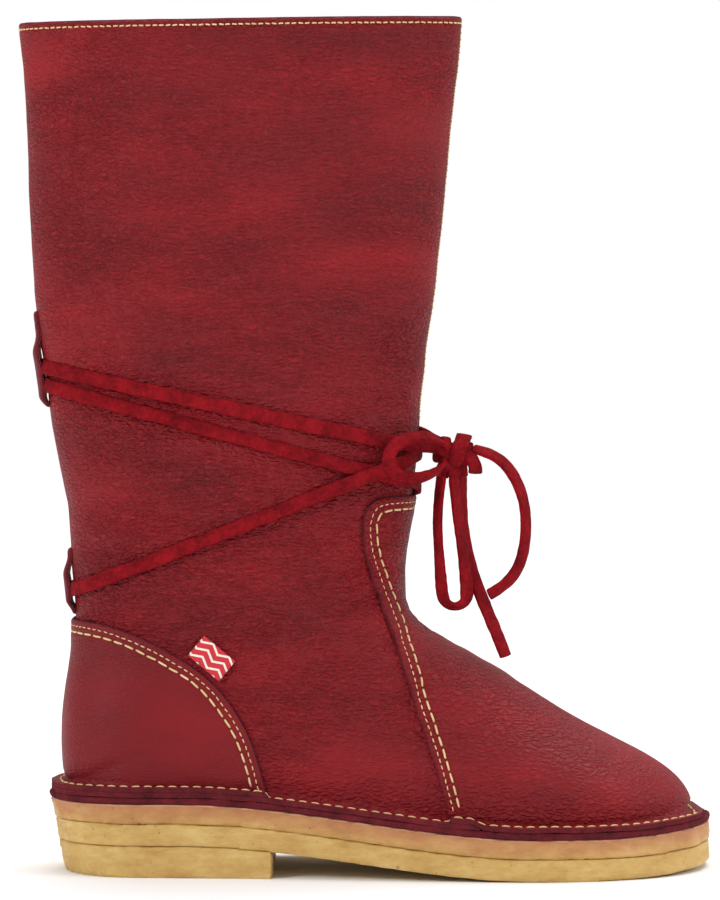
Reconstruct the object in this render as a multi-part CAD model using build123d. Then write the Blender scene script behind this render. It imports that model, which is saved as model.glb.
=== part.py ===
"""Tall wrap-laced leather boot for the right foot, on a layered crepe rubber sole.

Millimetres. +X points to the toe, +Y to the inner side of the foot, +Z up. The origin is on the ground,
under the middle of the boot. The upper is stitched down: its edges turn outwards and lie on the sole.
"""

from build123d import *
from build123d.topology import SkipClean
import math
import os

# ---------------------------------------------------------------- driving sizes
foot_length = 256.0  # the shaft leather from heel to toe, at the sole
shaft_height = 353.0  # ground to the top edge of the shaft, at the front
instep_height = 106.0  # ground to the crease between foot and shaft
top_drop = 4.0  # how much lower the top edge is at the back

leather = 2.0  # shaft, vamp and heel cover
lining = 1.2  # facings, heel stiffener and inside strip
puff_thickness = 1.5
flange_width = 7.0  # turned-out edge of the upper, beyond its wall
welt_thickness = 3.0  # leather midsole under the turned-out edge
midsole_thickness = 8.0  # upper crepe layer
outsole_thickness = 9.0  # lower crepe layer
heel_height = 13.0  # crepe heel block
heel_block_length = 93.0
heel_lean = 6.0  # how far the back of the heel runs in towards the ground
toe_spring = 2.5
toe_swing = 8.0  # how far the toe bends to the inner side
filler_thickness = 1.8
insole_thickness = 2.5
footbed_thickness = 5.0
shank_length, shank_width, shank_thickness = 95.0, 14.0, 1.2

front_slit = 1.2  # gap between the two front edges of the shaft
fit = 0.1  # clearance between pieces that lie against each other
label_gap = 0.35  # clearance round the label, which swings
facing_width = 13.0
strip_width = 18.0

lace_width = 6.0
lace_thickness = 2.2
lace_diameter = 4.2  # the round cord of the same section as the flat thong
knot_length, knot_width, knot_height = 17.0, 15.0, 18.0
keeper_width = 16.0
keeper_thickness = 1.8
channel_play = 2.6  # how far the channel of a keeper reaches past the lace, which slants through it
label_length, label_depth, label_thickness = 16.5, 10.5, 0.8

# ---------------------------------------------------------------- the last
# The last as drawn: its foot is 256 long, its crease is at 106 and its top at 353.
# Each station: height, back, front, where it is widest, half width there, half width of the heel.
DRAWN_LENGTH, DRAWN_INSTEP, DRAWN_TOP = 256.0, 106.0, 353.0
STATIONS = [
    (2, -121.0, 133.0, 72, 40.5, 27.0),
    (20, -121.5, 134.5, 72, 41.5, 27.5),
    (30, -122.5, 132.8, 70, 42.0, 28.5),
    (38, -123.0, 126.2, 64, 41.0, 29.5),
    (46, -123.6, 114.0, 54, 39.0, 30.5),
    (55, -124.0, 96.5, 40, 36.5, 31.0),
    (65, -123.7, 78.8, 24, 34.5, 31.2),
    (76, -122.2, 61.4, 8, 33.3, 31.2),
    (88, -120.2, 41.5, -8, 32.6, 31.2),
    (97, -119.4, 26.0, -22, 32.6, 31.4),
    (106, -119.6, 16.6, -34, 33.0, 31.8),
    (116, -120.8, 14.6, -42, 33.6, 32.6),
    (132, -122.0, 15.0, -48, 34.0, 33.4),
    (150, -123.4, 18.6, -50, 34.0, 33.6),
    (172, -127.4, 22.6, -52, 33.4, 33.2),
    (200, -131.9, 23.4, -52, 32.8, 32.6),
    (240, -136.7, 29.2, -52, 32.0, 31.8),
    (290, -139.2, 34.2, -52, 31.2, 31.0),
    (330, -140.8, 38.4, -52, 30.5, 30.4),
    (353, -143.4, 40.2, -52, 30.0, 29.8),
    (366, -144.4, 41.0, -52, 29.8, 29.6),
]
POINTS_A_SIDE = 13
SEAM = POINTS_A_SIDE + 5  # the point of an outline where its closed curve starts
HEEL_ROUND, SHAFT_ROUND = 34.0, 66.0  # length of the rounded back of a section
REACH = 90.0  # half the width of the cutting prisms, wider than the boot

stretch = foot_length / DRAWN_LENGTH


def with_middles(stations):
    """The stations with one more between each two, on a smooth curve through each column."""
    slopes = []
    for i in range(len(stations)):
        low, high = stations[max(0, i - 1)], stations[min(len(stations) - 1, i + 1)]
        slopes.append([(b - a) / (high[0] - low[0]) for a, b in zip(low, high)])
    result = [stations[0]]
    for a, b, slope_a, slope_b in zip(stations, stations[1:], slopes, slopes[1:]):
        gap = b[0] - a[0]
        middle = [(p + q) / 2 + (s - t) * gap / 8 for p, q, s, t in zip(a, b, slope_a, slope_b)]
        result += [tuple(middle), b]
    return result


SECTIONS = with_middles(STATIONS)
SOLE_SECTION = SECTIONS.index(STATIONS[1])  # the outline of the foot where it meets the sole


def graded_height(z):
    """A height of the drawn last, on a last of this instep and shaft height."""
    if z <= DRAWN_INSTEP:
        return z * instep_height / DRAWN_INSTEP
    share = (z - DRAWN_INSTEP) / (DRAWN_TOP - DRAWN_INSTEP)
    return instep_height + share * (shaft_height - instep_height)


def at(x, z):
    """A side-view point of the drawn last, as (x, z) on this one."""
    return x * stretch, graded_height(z)


def ease(t):
    t = min(1.0, max(0.0, t))
    return t * t * (3 - 2 * t)


x_heel = SECTIONS[SOLE_SECTION][1] * stretch
x_toe = SECTIONS[SOLE_SECTION][2] * stretch
edge = leather + fit + flange_width  # from the shaft leather out to the edge of the sole
sole_thickness = midsole_thickness + outsole_thickness


def swing(x):
    """How far the middle line of the foot bends to the inner side at x."""
    u, ball = max(0.0, x / x_toe), 0.535
    return toe_swing * u * u * (u - ball) / (1 - ball)


def half_width(x, index):
    """Half the width of a section at x."""
    z, back, front, widest, half, heel_half = SECTIONS[index]
    back, front, widest = back * stretch, front * stretch, widest * stretch
    round_length = HEEL_ROUND + (SHAFT_ROUND - HEEL_ROUND) * ease((z - 60) / 120)
    round_end = back + round_length
    y = heel_half + (half - heel_half) * ease((x - round_end) / max(1.0, widest - round_end))
    if x < round_end:
        y *= max(0.0, 1 - ((round_end - x) / round_length) ** 2.3) ** (1 / 2.3)
    if x > widest:
        y *= max(0.0, 1 - ((x - widest) / (front - widest)) ** 2.2) ** (1 / 2.2)
    return y


def half_outline(index):
    """Points (x, half width) of one side of a section, from the back to the front."""
    back, front = SECTIONS[index][1] * stretch, SECTIONS[index][2] * stretch
    turns = [math.pi * i / (POINTS_A_SIDE - 1) for i in range(POINTS_A_SIDE)]
    xs = [(back + front) / 2 - (front - back) / 2 * math.cos(turn) for turn in turns]
    return [(x, half_width(x, index)) for x in xs]


def closed_outline(index):
    """The whole outline of a section, from the back along the outer side and round the toe."""
    side = half_outline(index)
    outer = [(x, swing(x) - y) for x, y in side]
    inner = [(x, swing(x) + y) for x, y in side[-2:0:-1]]
    return outer + inner


def front_thickening(index):
    """How much longer a level step through a leather is at the sloping front than its thickness."""
    low, high = SECTIONS[max(0, index - 1)], SECTIONS[min(len(SECTIONS) - 1, index + 1)]
    rise, run = high[0] - low[0], (high[2] - low[2]) * stretch
    return min(2.4, math.hypot(rise, run) / rise)


def grown(points, amount, front_factor=1.0):
    """The outline moved outwards by amount, and further where it faces the sloping front."""
    moved = []
    for i, (x, y) in enumerate(points):
        (ax, ay), (bx, by) = points[i - 1], points[(i + 1) % len(points)]
        length = math.hypot(bx - ax, by - ay)
        nx, ny = (by - ay) / length, -(bx - ax) / length
        step = amount * (1 + (front_factor - 1) * max(0.0, nx) ** 3)
        moved.append((x + nx * step, y + ny * step))
    return moved


def outline_face(points, z):
    """A level face inside the outline. Its seam is on the inner side, away from every cut."""
    turned = points[SEAM:] + points[:SEAM]
    return Face(Wire(Spline(*[(x, y, z) for x, y in turned], periodic=True)))


made_lasts = {}


def last(offset):
    """The closed form of the boot, offset outwards from the outer face of the shaft leather."""
    if offset not in made_lasts:
        faces = []
        for i, section in enumerate(SECTIONS):
            points = grown(closed_outline(i), offset, front_thickening(i))
            faces.append(outline_face(points, graded_height(section[0])))
        made_lasts[offset] = loft(faces, ruled=True)
    return made_lasts[offset]


def between_sections(z, value):
    """value(index) of the two sections about a drawn height z, mixed in proportion."""
    upper = next(i for i, section in enumerate(SECTIONS) if section[0] >= z)
    low, high = SECTIONS[upper - 1][0], SECTIONS[upper][0]
    share = (z - low) / (high - low)
    return value(upper - 1) * (1 - share) + value(upper) * share


def back_at(z):
    """x of the back seam at a drawn height z, on the outer face of the shaft leather."""
    return between_sections(z, lambda i: SECTIONS[i][1] * stretch)


def front_at(z):
    return between_sections(z, lambda i: SECTIONS[i][2] * stretch)


def side_at(x, z):
    """Half the width of the boot at x and a drawn height z."""
    return between_sections(z, lambda i: half_width(x, i))


# ---------------------------------------------------------------- side-view cutting shapes
def prism(edges):
    """A closed side-view outline, drawn at y = 0, as a solid right across the boot."""
    return extrude(Face(Wire(edges)), amount=REACH, dir=(0, 1, 0), both=True)


def polygon(points):
    corners = [(x, 0, z) for x, z in points]
    return prism(Polyline(*corners, close=True).edges())


def curve_and_corners(curve_points, corners):
    """A smooth side-view curve closed by straight lines through the corners."""
    curve = Spline(*[(x, 0, z) for x, z in curve_points])
    closing = [curve @ 1] + [(x, 0, z) for x, z in corners] + [curve @ 0]
    return prism([curve] + list(Polyline(*closing).edges()))


def sole_line(x):
    """Height of the top of the crepe at x: level at the heel, down to the ball, up at the toe."""
    fall = ease((x / stretch + 75) / 147)
    toe_share = max(0.0, (x / stretch - 95) / (DRAWN_LENGTH - 121.5 + edge - 95))
    return sole_thickness + heel_height * (1 - fall) + toe_spring * toe_share**2


def sole_curve(height):
    start, stop, count = x_heel - 25, x_toe + 25, 17
    xs = [start + (stop - start) * i / (count - 1) for i in range(count)]
    return Spline(*[(x, 0, sole_line(x) + height) for x in xs])


def band(low, high):
    """The space between two heights above the top of the crepe."""
    bottom, top = sole_curve(low), sole_curve(high)
    return prism([bottom, Line(bottom @ 1, top @ 1), top, Line(top @ 0, bottom @ 0)])


def above_sole(height):
    bottom = sole_curve(height)
    roof = shaft_height + 60
    start, stop = bottom @ 0, bottom @ 1
    rest = Polyline(stop, (stop.X, 0, roof), (start.X, 0, roof), start)
    return prism([bottom] + list(rest.edges()))


def half_space(side, gap):
    """The outer (-1) or inner (+1) side of the boot, gap/2 away from its middle plane."""
    box = Box(600, REACH, 1000)
    return Pos(0, side * (REACH + gap) / 2, 0) * box


# ---------------------------------------------------------------- sole
def sole_column():
    """The outline of the sole as a tall solid, with the back of the heel leaning in downwards."""
    outline = grown(closed_outline(SOLE_SECTION), edge)
    lean_start = x_heel + 62 * stretch

    def leaned(z):
        share = 1 - z / (sole_thickness + heel_height)
        points = []
        for x, y in outline:
            back = max(0.0, (lean_start - x) / (lean_start - (x_heel - edge)))
            points.append((x + heel_lean * share * back, y))
        return outline_face(points, z)

    return loft([leaned(-10), leaned(sole_line(x_heel) + 20)], ruled=True)


SkipClean.clean = False  # merging the faces of these curved solids again takes minutes, and changes nothing

column = sole_column()
ground = Pos(0, 0, 250) * Box(600, 2 * REACH, 500)
upper_top = welt_thickness + leather
cover_low = upper_top + fit
cover_top = cover_low + leather
inside_face = -leather - fit - lining - fit  # the foot space, clear of every inside layer

heel_front = x_heel - edge + heel_block_length
heel_zone = Pos(heel_front - 300, 0, 0) * Box(600, 2 * REACH, 200)
crepe_midsole = column & band(-midsole_thickness, 0)
outsole = column & band(-sole_thickness, -midsole_thickness)
heel_block = column & band(-sole_thickness - 60, -sole_thickness) & (ground & heel_zone)
leather_midsole = column & band(0, welt_thickness)

foot_space = last(inside_face)
shank_middle = -27 * stretch
filler_top = welt_thickness + filler_thickness
insole_top = filler_top + insole_thickness
shank_zone = Pos(shank_middle, 0, 0) * Box(shank_length, shank_width, 200)
shank_pocket = Pos(shank_middle, 0, 0) * Box(shank_length + 6 * fit, shank_width + 6 * fit, 200)
shank = band(welt_thickness, welt_thickness + shank_thickness) & shank_zone
cork_filler = (foot_space & band(welt_thickness, filler_top)) - shank_pocket
insole_board = foot_space & band(filler_top, insole_top)
footbed = foot_space & band(insole_top, insole_top + footbed_thickness)

# ---------------------------------------------------------------- upper
VAMP_EDGE = [(6, 155), (0, 151), (-1.2, 143), (-0.6, 132), (5, 113), (14, 90), (21.5, 66), (29, 45), (38, 8)]
HEEL_EDGE = [
    (-160, 104.4), (-125, 104.4), (-107, 103.6), (-90, 97.5), (-71, 87), (-59.5, 77), (-49, 62), (-43, 46), (-35, 8),
]
QUARTER_FRONT = [(80, 116), (18, 113), (26, 90), (33.5, 66), (41, 45), (46.5, 25), (50, 5)]
STIFFENER_EDGE = [(-160, 88), (-110, 88), (-85, 80), (-66, 60), (-58, 8)]

vamp_side = curve_and_corners([at(*p) for p in VAMP_EDGE], [at(200, 8), at(200, 155)])
heel_side = curve_and_corners([at(*p) for p in HEEL_EDGE], [at(-160, 8)])
stiffener_side = curve_and_corners([at(*p) for p in STIFFENER_EDGE], [at(-160, 8)])
top_line = [(-180 * stretch, shaft_height - top_drop), (80 * stretch, shaft_height)]
quarter_side = polygon([at(-180, 5)] + top_line + [at(*p) for p in QUARTER_FRONT])
whole_side = polygon([at(-180, 5)] + top_line + [at(80, 116), at(200, 116), at(200, 5)])
over_welt = above_sole(welt_thickness)

quarter_zone = quarter_side & over_welt
quarters = (last(0) & quarter_zone) + (column & band(welt_thickness, upper_top) & quarter_side)
quarters = quarters - last(-leather)
quarter_lateral = quarters & half_space(-1, front_slit)
quarter_medial = quarters & half_space(1, front_slit)

step_clear = 3 * fit
riser = column & band(welt_thickness, cover_top) & (Pos(leather + step_clear, 0, 0) * quarter_side)
flange = column & band(welt_thickness, upper_top)
vamp = (last(leather + fit) & vamp_side & over_welt) + (flange & vamp_side) + (riser & vamp_side)
vamp = vamp - last(fit)
vamp = vamp - (Pos(step_clear, 0, 0) * quarter_side & band(welt_thickness - 1, cover_low))

cover_flange = column & band(cover_low, cover_top) & heel_side
heel_cover = (last(leather + fit) & heel_side & above_sole(cover_low)) + cover_flange
heel_cover = heel_cover - last(fit)

# ---------------------------------------------------------------- inside layers
inner_shell = (last(-leather - fit) & whole_side & over_welt) - last(-leather - fit - lining)
heel_stiffener = inner_shell & stiffener_side

facing_low = shaft_height - top_drop - facing_width
top_zone = Pos(0, 0, facing_low + 100) * Box(600, 2 * REACH, 200)
front_zone = Pos(150, 0, graded_height(122) + 200) * Box(300, 2 * facing_width, 400)
facing_zone = top_zone + front_zone
facing_lateral = inner_shell & facing_zone & half_space(-1, front_slit)
facing_medial = inner_shell & facing_zone & half_space(1, front_slit)

strip_low = graded_height(92)
strip_height = facing_low - fit - strip_low
strip_zone = Pos(-150 * stretch, 0, strip_low + strip_height / 2) * Box(200, strip_width, strip_height)
back_strip = inner_shell & strip_zone

puff_side = polygon([at(96, 5), at(86, 80), at(200, 80), at(200, 5)])
toe_puff = (last(0) & puff_side & over_welt) - last(-puff_thickness)

# ---------------------------------------------------------------- lace wraps
# One flat thong. Its middle lies in the lower keeper. Both halves rise to the front, cross there, run back
# to the upper keeper on the other side, pass through it and come forward again to the bow.
LACE_BACK_LOW, LACE_BACK_MIDDLE, LACE_BACK_HIGH = 116.5, 200.5, 208.0
LACE_FRONT_LOW, LACE_FRONT_MIDDLE, LACE_FRONT_HIGH = 159.4, 173.3, 180.0
CROSSING = (-9.5, 12.5)  # the stretch where the rising outer strand lies on the falling one
RAMP = 2.0

lace_top = fit + lace_thickness
second_low = lace_top + fit
second_top = second_low + lace_thickness
lace_zone = Pos(-50 * stretch, 0, graded_height(160)) * Box(260 * stretch, 2 * REACH, 130)


def lace_shell(low, high):
    return (last(high) & lace_zone) - last(low)


first_layer = lace_shell(fit, lace_top)
second_layer = lace_shell(second_low, second_top)
both_layers = lace_shell(fit, second_top)


def strand(start, end, side, layer, x_range=(-200, 100)):
    """The thong along a side-view line, on one side of the boot, in one layer, within a stretch of x."""
    (x0, z0), (x1, z1) = at(*start), at(*end)
    slope = (z1 - z0) / (x1 - x0)
    rise = lace_width / 2 * math.hypot(1, slope)
    left, right = x_range[0] * stretch, x_range[1] * stretch
    z_left, z_right = z0 + slope * (left - x0), z0 + slope * (right - x0)
    lower_edge = [(left, z_left - rise), (right, z_right - rise)]
    upper_edge = [(right, z_right + rise), (left, z_left + rise)]
    return layer & polygon(lower_edge + upper_edge) & half_space(side, 0)


x_back, x_front = -130, 24
rising = [(x_back + 11, LACE_BACK_LOW), (x_front, LACE_FRONT_MIDDLE)]
falling = [(x_back, LACE_BACK_MIDDLE), (x_front, LACE_FRONT_LOW)]
tying = [(x_back, LACE_BACK_HIGH), (14, 176.5)]
inner_rising = [(x_back + 11, LACE_BACK_LOW), (x_front, LACE_FRONT_LOW)]
inner_falling = [(x_back, LACE_BACK_MIDDLE), (x_front, LACE_FRONT_MIDDLE)]
inner_tying = [(x_back, LACE_BACK_HIGH), (x_front, LACE_FRONT_HIGH)]
over_start, over_end = CROSSING
tie_start = over_end + RAMP / 4
vamp_start = min(x for x, z in VAMP_EDGE) - 3  # where the inner rising strand has to lie on the vamp
front_turn = 20

lace_pieces = [
    strand(*rising, -1, first_layer, (-200, over_start - RAMP)),
    strand(*rising, -1, both_layers, (over_start - RAMP, over_start)),
    strand(*rising, -1, second_layer, (over_start, over_end)),
    strand(*rising, -1, both_layers, (over_end, over_end + RAMP)),
    strand(*rising, -1, first_layer, (over_end + RAMP, 100)),
    strand(*falling, -1, first_layer),
    strand(*tying, -1, first_layer, (-200, tie_start)),
    strand(*tying, -1, both_layers, (tie_start, tie_start + RAMP)),
    strand(*tying, -1, second_layer, (tie_start + RAMP, 100)),
    strand(*inner_rising, 1, first_layer, (-200, vamp_start - RAMP)),
    strand(*inner_rising, 1, both_layers, (vamp_start - RAMP, vamp_start)),
    strand(*inner_rising, 1, second_layer, (vamp_start, front_turn)),
    strand(*inner_rising, 1, both_layers, (front_turn, 100)),
    strand(*inner_falling, 1, first_layer),
    strand(*inner_tying, 1, first_layer, (-200, front_turn)),
    strand(*inner_tying, 1, both_layers, (front_turn, 100)),
]
lace_wraps = lace_pieces[0]
for piece in lace_pieces[1:]:
    lace_wraps = lace_wraps + piece

# ---------------------------------------------------------------- lace keepers


def keeper(low, channel_low, channel_high, high):
    """A leather loop on the back seam, flat at its ends and raised over the lace."""
    flat, raised = fit + keeper_thickness, second_low + keeper_thickness
    outer = [(low, flat), (channel_low - 3.5, flat), (channel_low - 1, raised), (channel_high + 1, raised)]
    outer += [(min(channel_high + 9, high - 4), flat), (high, flat)]
    profile = [(back_at(z) - rise, graded_height(z)) for z, rise in outer]
    inside = back_at(low) + 15
    profile += [(inside, graded_height(high)), (inside, graded_height(low))]
    block = polygon(profile) & Box(1000, keeper_width, 1000)
    channel_size = graded_height(channel_high) - graded_height(channel_low)
    channel_middle = (graded_height(channel_high) + graded_height(channel_low)) / 2
    channel = Pos(-150 * stretch, 0, channel_middle) * Box(200, 2 * REACH, channel_size)
    return block - last(fit) - (last(second_low) & channel)


half_lace = lace_width / 2 + channel_play
keeper_lower = keeper(105.6, LACE_BACK_LOW - half_lace, LACE_BACK_LOW + half_lace, 133)
keeper_upper = keeper(191, LACE_BACK_MIDDLE - half_lace, LACE_BACK_HIGH + half_lace, 231)

# ---------------------------------------------------------------- bow
KNOT_Y, KNOT_Z = -4.0, 172.0
knot_back = front_at(KNOT_Z) + second_top + 4 * fit
knot_center = (knot_back + knot_length / 2, KNOT_Y, graded_height(KNOT_Z))
knot_box = Box(knot_length, knot_width, knot_height)
lace_knot = Pos(*knot_center) * fillet(knot_box.edges(), 2)

ROUTES = {
    "bow_loop_near": [
        (32, -11.5, 176.5), (30, -18, 178.5), (22, -25, 180.5), (12.5, -28.5, 177.5), (8.5, -29.8, 170.5),
        (12.5, -28.8, 164), (21.5, -25.5, 162.5), (29.5, -18.5, 165), (32, -11.5, 167.5),
    ],
    "bow_loop_hanging": [
        (31.5, -7.3, 163), (29.6, -9.5, 149), (30.2, -12, 134), (31.2, -13.6, 120), (32, -14.2, 112.4),
        (34.9, -14.5, 109.5), (39.1, -14.5, 109.5), (42, -14.2, 112.4), (41.6, -13.6, 120), (40, -12, 134),
        (37.8, -9.5, 149), (36.6, -7.3, 163),
    ],
    "lace_end_long": [
        (44.3, -4, 174), (52, -6, 172.5), (60, -9.5, 166), (65.5, -12, 154), (66.5, -13.5, 140),
        (64, -15, 126.5), (57.5, -16.3, 118), (50.5, -17, 114.3),
    ],
    "lace_end_short": [
        (40.1, -1, 163), (39.8, -3, 150), (41, -5.5, 136), (44.5, -8, 122), (50, -10.5, 108),
        (55, -12.5, 96.5), (58, -13.5, 88.5),
    ],
}


def corner_radii(route):
    radii = []
    for a, b, c in zip(route, route[1:], route[2:]):
        before, after = Vector(*b) - Vector(*a), Vector(*c) - Vector(*b)
        half_turn = math.radians(before.get_angle(after)) / 2
        radii.append(0.45 * min(before.length, after.length) / math.tan(half_turn))
    return radii


def free_lace(route):
    """A free part of the thong, as a round cord of the same section."""
    path = FilletPolyline(*route, radius=corner_radii(route))
    section = Plane(origin=path @ 0, z_dir=path % 0) * Circle(lace_diameter / 2)
    tube = sweep(section, path=path)
    ideal = math.pi * lace_diameter**2 / 4 * path.length
    print(f"  length {path.length:.1f}, volume {tube.volume / ideal:.4f} of section times length,",
          "radii", [round(r, 1) for r in corner_radii(route)])
    return tube - lace_knot


# ---------------------------------------------------------------- label
LABEL_ROOT = (-66.0, 85.6)  # middle of its sewn edge, above the edge of the heel cover
LABEL_TILT = -39.8  # degrees, along the edge of the heel cover

label_x, label_z = at(*LABEL_ROOT)
label_y = -side_at(label_x + label_depth, LABEL_ROOT[1] + label_depth) - label_gap - label_thickness / 2
tab = Pos(0, 0, label_depth / 2) * Box(label_length, label_thickness, label_depth)
label = Pos(label_x, label_y, label_z) * Rot(0, -LABEL_TILT, 0) * tab

# ---------------------------------------------------------------- files
parts = {
    "outsole": outsole,
    "heel_block": heel_block,
    "crepe_midsole": crepe_midsole,
    "leather_midsole": leather_midsole,
    "shank": shank,
    "cork_filler": cork_filler,
    "insole_board": insole_board,
    "footbed": footbed,
    "quarter_lateral": quarter_lateral,
    "quarter_medial": quarter_medial,
    "vamp": vamp,
    "heel_cover": heel_cover,
    "heel_stiffener": heel_stiffener,
    "facing_lateral": facing_lateral,
    "facing_medial": facing_medial,
    "back_strip": back_strip,
    "toe_puff": toe_puff,
    "keeper_lower": keeper_lower,
    "keeper_upper": keeper_upper,
    "label": label,
    "lace_wraps": lace_wraps,
    "lace_knot": lace_knot,
}
for name, route in ROUTES.items():
    print(name)
    parts[name] = free_lace(route)

os.makedirs("parts", exist_ok=True)
for name, shape in parts.items():
    export_step(shape, f"parts/{name}.step")
    print(name, len(shape.solids()), "solids", round(shape.volume), "mm3")
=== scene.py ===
# %% [markdown]
# # A tall red boot, tied with a thong
# The real boot is cut from one thick pebbled leather and stitched down: the lower edge of the leather turns
# outwards, lies on the sole and is sewn through. The sole is layers of natural crepe rubber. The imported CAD
# model gives every piece its place. Here each leather panel is built again as a sheet of quads that follows
# the CAD surface, because a dense, even sheet can carry wrinkles, a turned edge and a row of stitches.

# %% Load the frame
import bpy
import math
import random
import numpy as np
from mathutils import Matrix, Vector, noise
from mathutils.bvhtree import BVHTree


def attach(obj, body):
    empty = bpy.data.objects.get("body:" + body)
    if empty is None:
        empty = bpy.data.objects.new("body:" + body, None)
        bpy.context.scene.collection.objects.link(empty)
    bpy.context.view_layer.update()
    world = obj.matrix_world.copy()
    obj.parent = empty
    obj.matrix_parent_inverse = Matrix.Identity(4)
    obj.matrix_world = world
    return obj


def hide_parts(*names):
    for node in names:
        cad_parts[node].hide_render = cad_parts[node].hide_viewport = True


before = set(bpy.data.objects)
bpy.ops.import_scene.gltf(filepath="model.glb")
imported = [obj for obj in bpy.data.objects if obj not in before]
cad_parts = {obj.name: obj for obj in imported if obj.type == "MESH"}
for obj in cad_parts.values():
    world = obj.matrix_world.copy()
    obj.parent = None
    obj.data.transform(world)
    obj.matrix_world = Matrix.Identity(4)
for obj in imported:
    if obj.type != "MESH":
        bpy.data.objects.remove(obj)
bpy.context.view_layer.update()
MM = 0.001

# %% [markdown]
# ## Camera
# A long lens two metres away keeps the sole and the top edge nearly parallel, so the boot's proportions read
# true. The lens follows from the width that has to be in view at the boot's middle plane.

# %% Camera
VIEW_WIDTH, VIEW_CENTER, EYE_HEIGHT, EYE_DISTANCE = 297.7, (-2.1, 0, 173.3), 260, 2000
camera = bpy.data.objects.new("camera", bpy.data.cameras.new("camera"))
bpy.context.scene.collection.objects.link(camera)
camera.data.sensor_fit = "HORIZONTAL"
camera.data.sensor_width = 36
camera.data.lens = 36 * EYE_DISTANCE / VIEW_WIDTH
camera.data.clip_end = 20
camera.location = Vector((VIEW_CENTER[0], -EYE_DISTANCE, EYE_HEIGHT)) * MM
to_boot = Vector(VIEW_CENTER) * MM - camera.location
camera.rotation_euler = to_boot.to_track_quat("-Z", "Y").to_euler()
bpy.context.scene.camera = camera
print("lens, mm:", round(camera.data.lens, 1))

# %% [markdown]
# ## Free lace: two bow loops and two ends
# One long thong, cut from the same hide, holds the boot shut. It is a flat strip: smooth dyed grain on one
# side, fuzzy suede on the other. The free parts are modelled as real lengths of strip. A NURBS spline with a
# few control points gives each part its line, since a strip of leather bends slowly and evenly. A plain curve
# bevel would make it round, so a ribbon is built along the spline's own points, and it can twist as it goes.

# %% The routes of the free lace, in mm
LACE_WIDTH, LACE_THICKNESS = 6.0, 2.2
ROUTES = {
    "bow_loop_near": [
        (32, -11.5, 176.5), (30, -18, 178.5), (22, -25, 180.5), (12.5, -28.5, 177.5), (8.5, -29.8, 170.5),
        (12.5, -28.8, 164), (21.5, -25.5, 162.5), (29.5, -18.5, 165), (32, -11.5, 167.5),
    ],
    "bow_loop_hanging": [
        (31.5, -7.3, 163), (29.6, -9.5, 149), (30.2, -12, 134), (31.2, -13.6, 120), (32, -14.2, 112.4),
        (34.9, -14.5, 109.5), (39.1, -14.5, 109.5), (42, -14.2, 112.4), (41.6, -13.6, 120), (40, -12, 134),
        (37.8, -9.5, 149), (36.6, -7.3, 163),
    ],
    "lace_end_long": [
        (44.3, -4, 174), (52, -6, 172.5), (60, -9.5, 166), (65.5, -12, 154), (66.5, -13.5, 140),
        (64, -15, 126.5), (57.5, -16.3, 118), (50.5, -17, 114.3),
    ],
    "lace_end_short": [
        (40.1, -1, 163), (39.8, -3, 150), (41, -5.5, 136), (44.5, -8, 122), (50, -10.5, 108),
        (55, -12.5, 96.5), (58, -13.5, 88.5),
    ],
}


def spline_line(name, points):
    """Points along a NURBS spline that has the given points as its control points."""
    curve = bpy.data.curves.new(name + "_line", "CURVE")
    curve.dimensions = "3D"
    curve.resolution_u = 10
    spline = curve.splines.new("NURBS")
    spline.points.add(len(points) - 1)
    for control, point in zip(spline.points, points):
        control.co = (*(c * MM for c in point), 1)
    spline.order_u = 3
    spline.use_endpoint_u = True
    holder = bpy.data.objects.new(name + "_line", curve)
    mesh = bpy.data.meshes.new_from_object(holder)
    line = [v.co / MM for v in mesh.vertices]
    bpy.data.objects.remove(holder)
    bpy.data.curves.remove(curve)
    bpy.data.meshes.remove(mesh)
    return line


def line_length(line):
    return sum((b - a).length for a, b in zip(line, line[1:]))


lace_lines = {name: spline_line(name, route) for name, route in ROUTES.items()}
for name, line in lace_lines.items():
    print(name, "length, mm:", round(line_length(line), 1))

# %% [markdown]
# ### From a line to a strip
# A strip needs rings of points square to its line. Each ring is a flat rectangle with its corners cut, a little
# wider and narrower along the way, because a thong is cut by hand. A subdivision modifier then rounds it.

# %% Points at even steps, and a mesh in millimetres
RIBBON_PROFILE = [(-1, -0.55), (-0.9, -1), (0.9, -1), (1, -0.55), (1, 0.55), (0.9, 1), (-0.9, 1), (-1, 0.55)]


def evenly(line, step):
    """The line again with a point about every step millimetres."""
    points = np.array([tuple(p) for p in line])
    lengths = np.concatenate([[0], np.cumsum(np.linalg.norm(np.diff(points, axis=0), axis=1))])
    count = max(4, int(lengths[-1] / step) + 1)
    wanted = np.linspace(0, lengths[-1], count)
    return [Vector([np.interp(w, lengths, points[:, k]) for k in range(3)]) for w in wanted]


def mesh_object(name, verts, faces, materials=(), slots=None):
    """A new object from vertices in millimetres. The frame works in metres."""
    mesh = bpy.data.meshes.new(name)
    mesh.from_pydata([tuple(c * MM for c in v) for v in verts], [], [tuple(f) for f in faces])
    for material in materials:
        mesh.materials.append(material)
    if slots is not None:
        mesh.polygons.foreach_set("material_index", slots)
    mesh.polygons.foreach_set("use_smooth", [True] * len(mesh.polygons))
    mesh.update()
    made = bpy.data.objects.new(name, mesh)
    bpy.context.scene.collection.objects.link(made)
    return made


print("ribbon cage:", len(RIBBON_PROFILE), "points round,", LACE_WIDTH, "by", LACE_THICKNESS, "mm")


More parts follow.
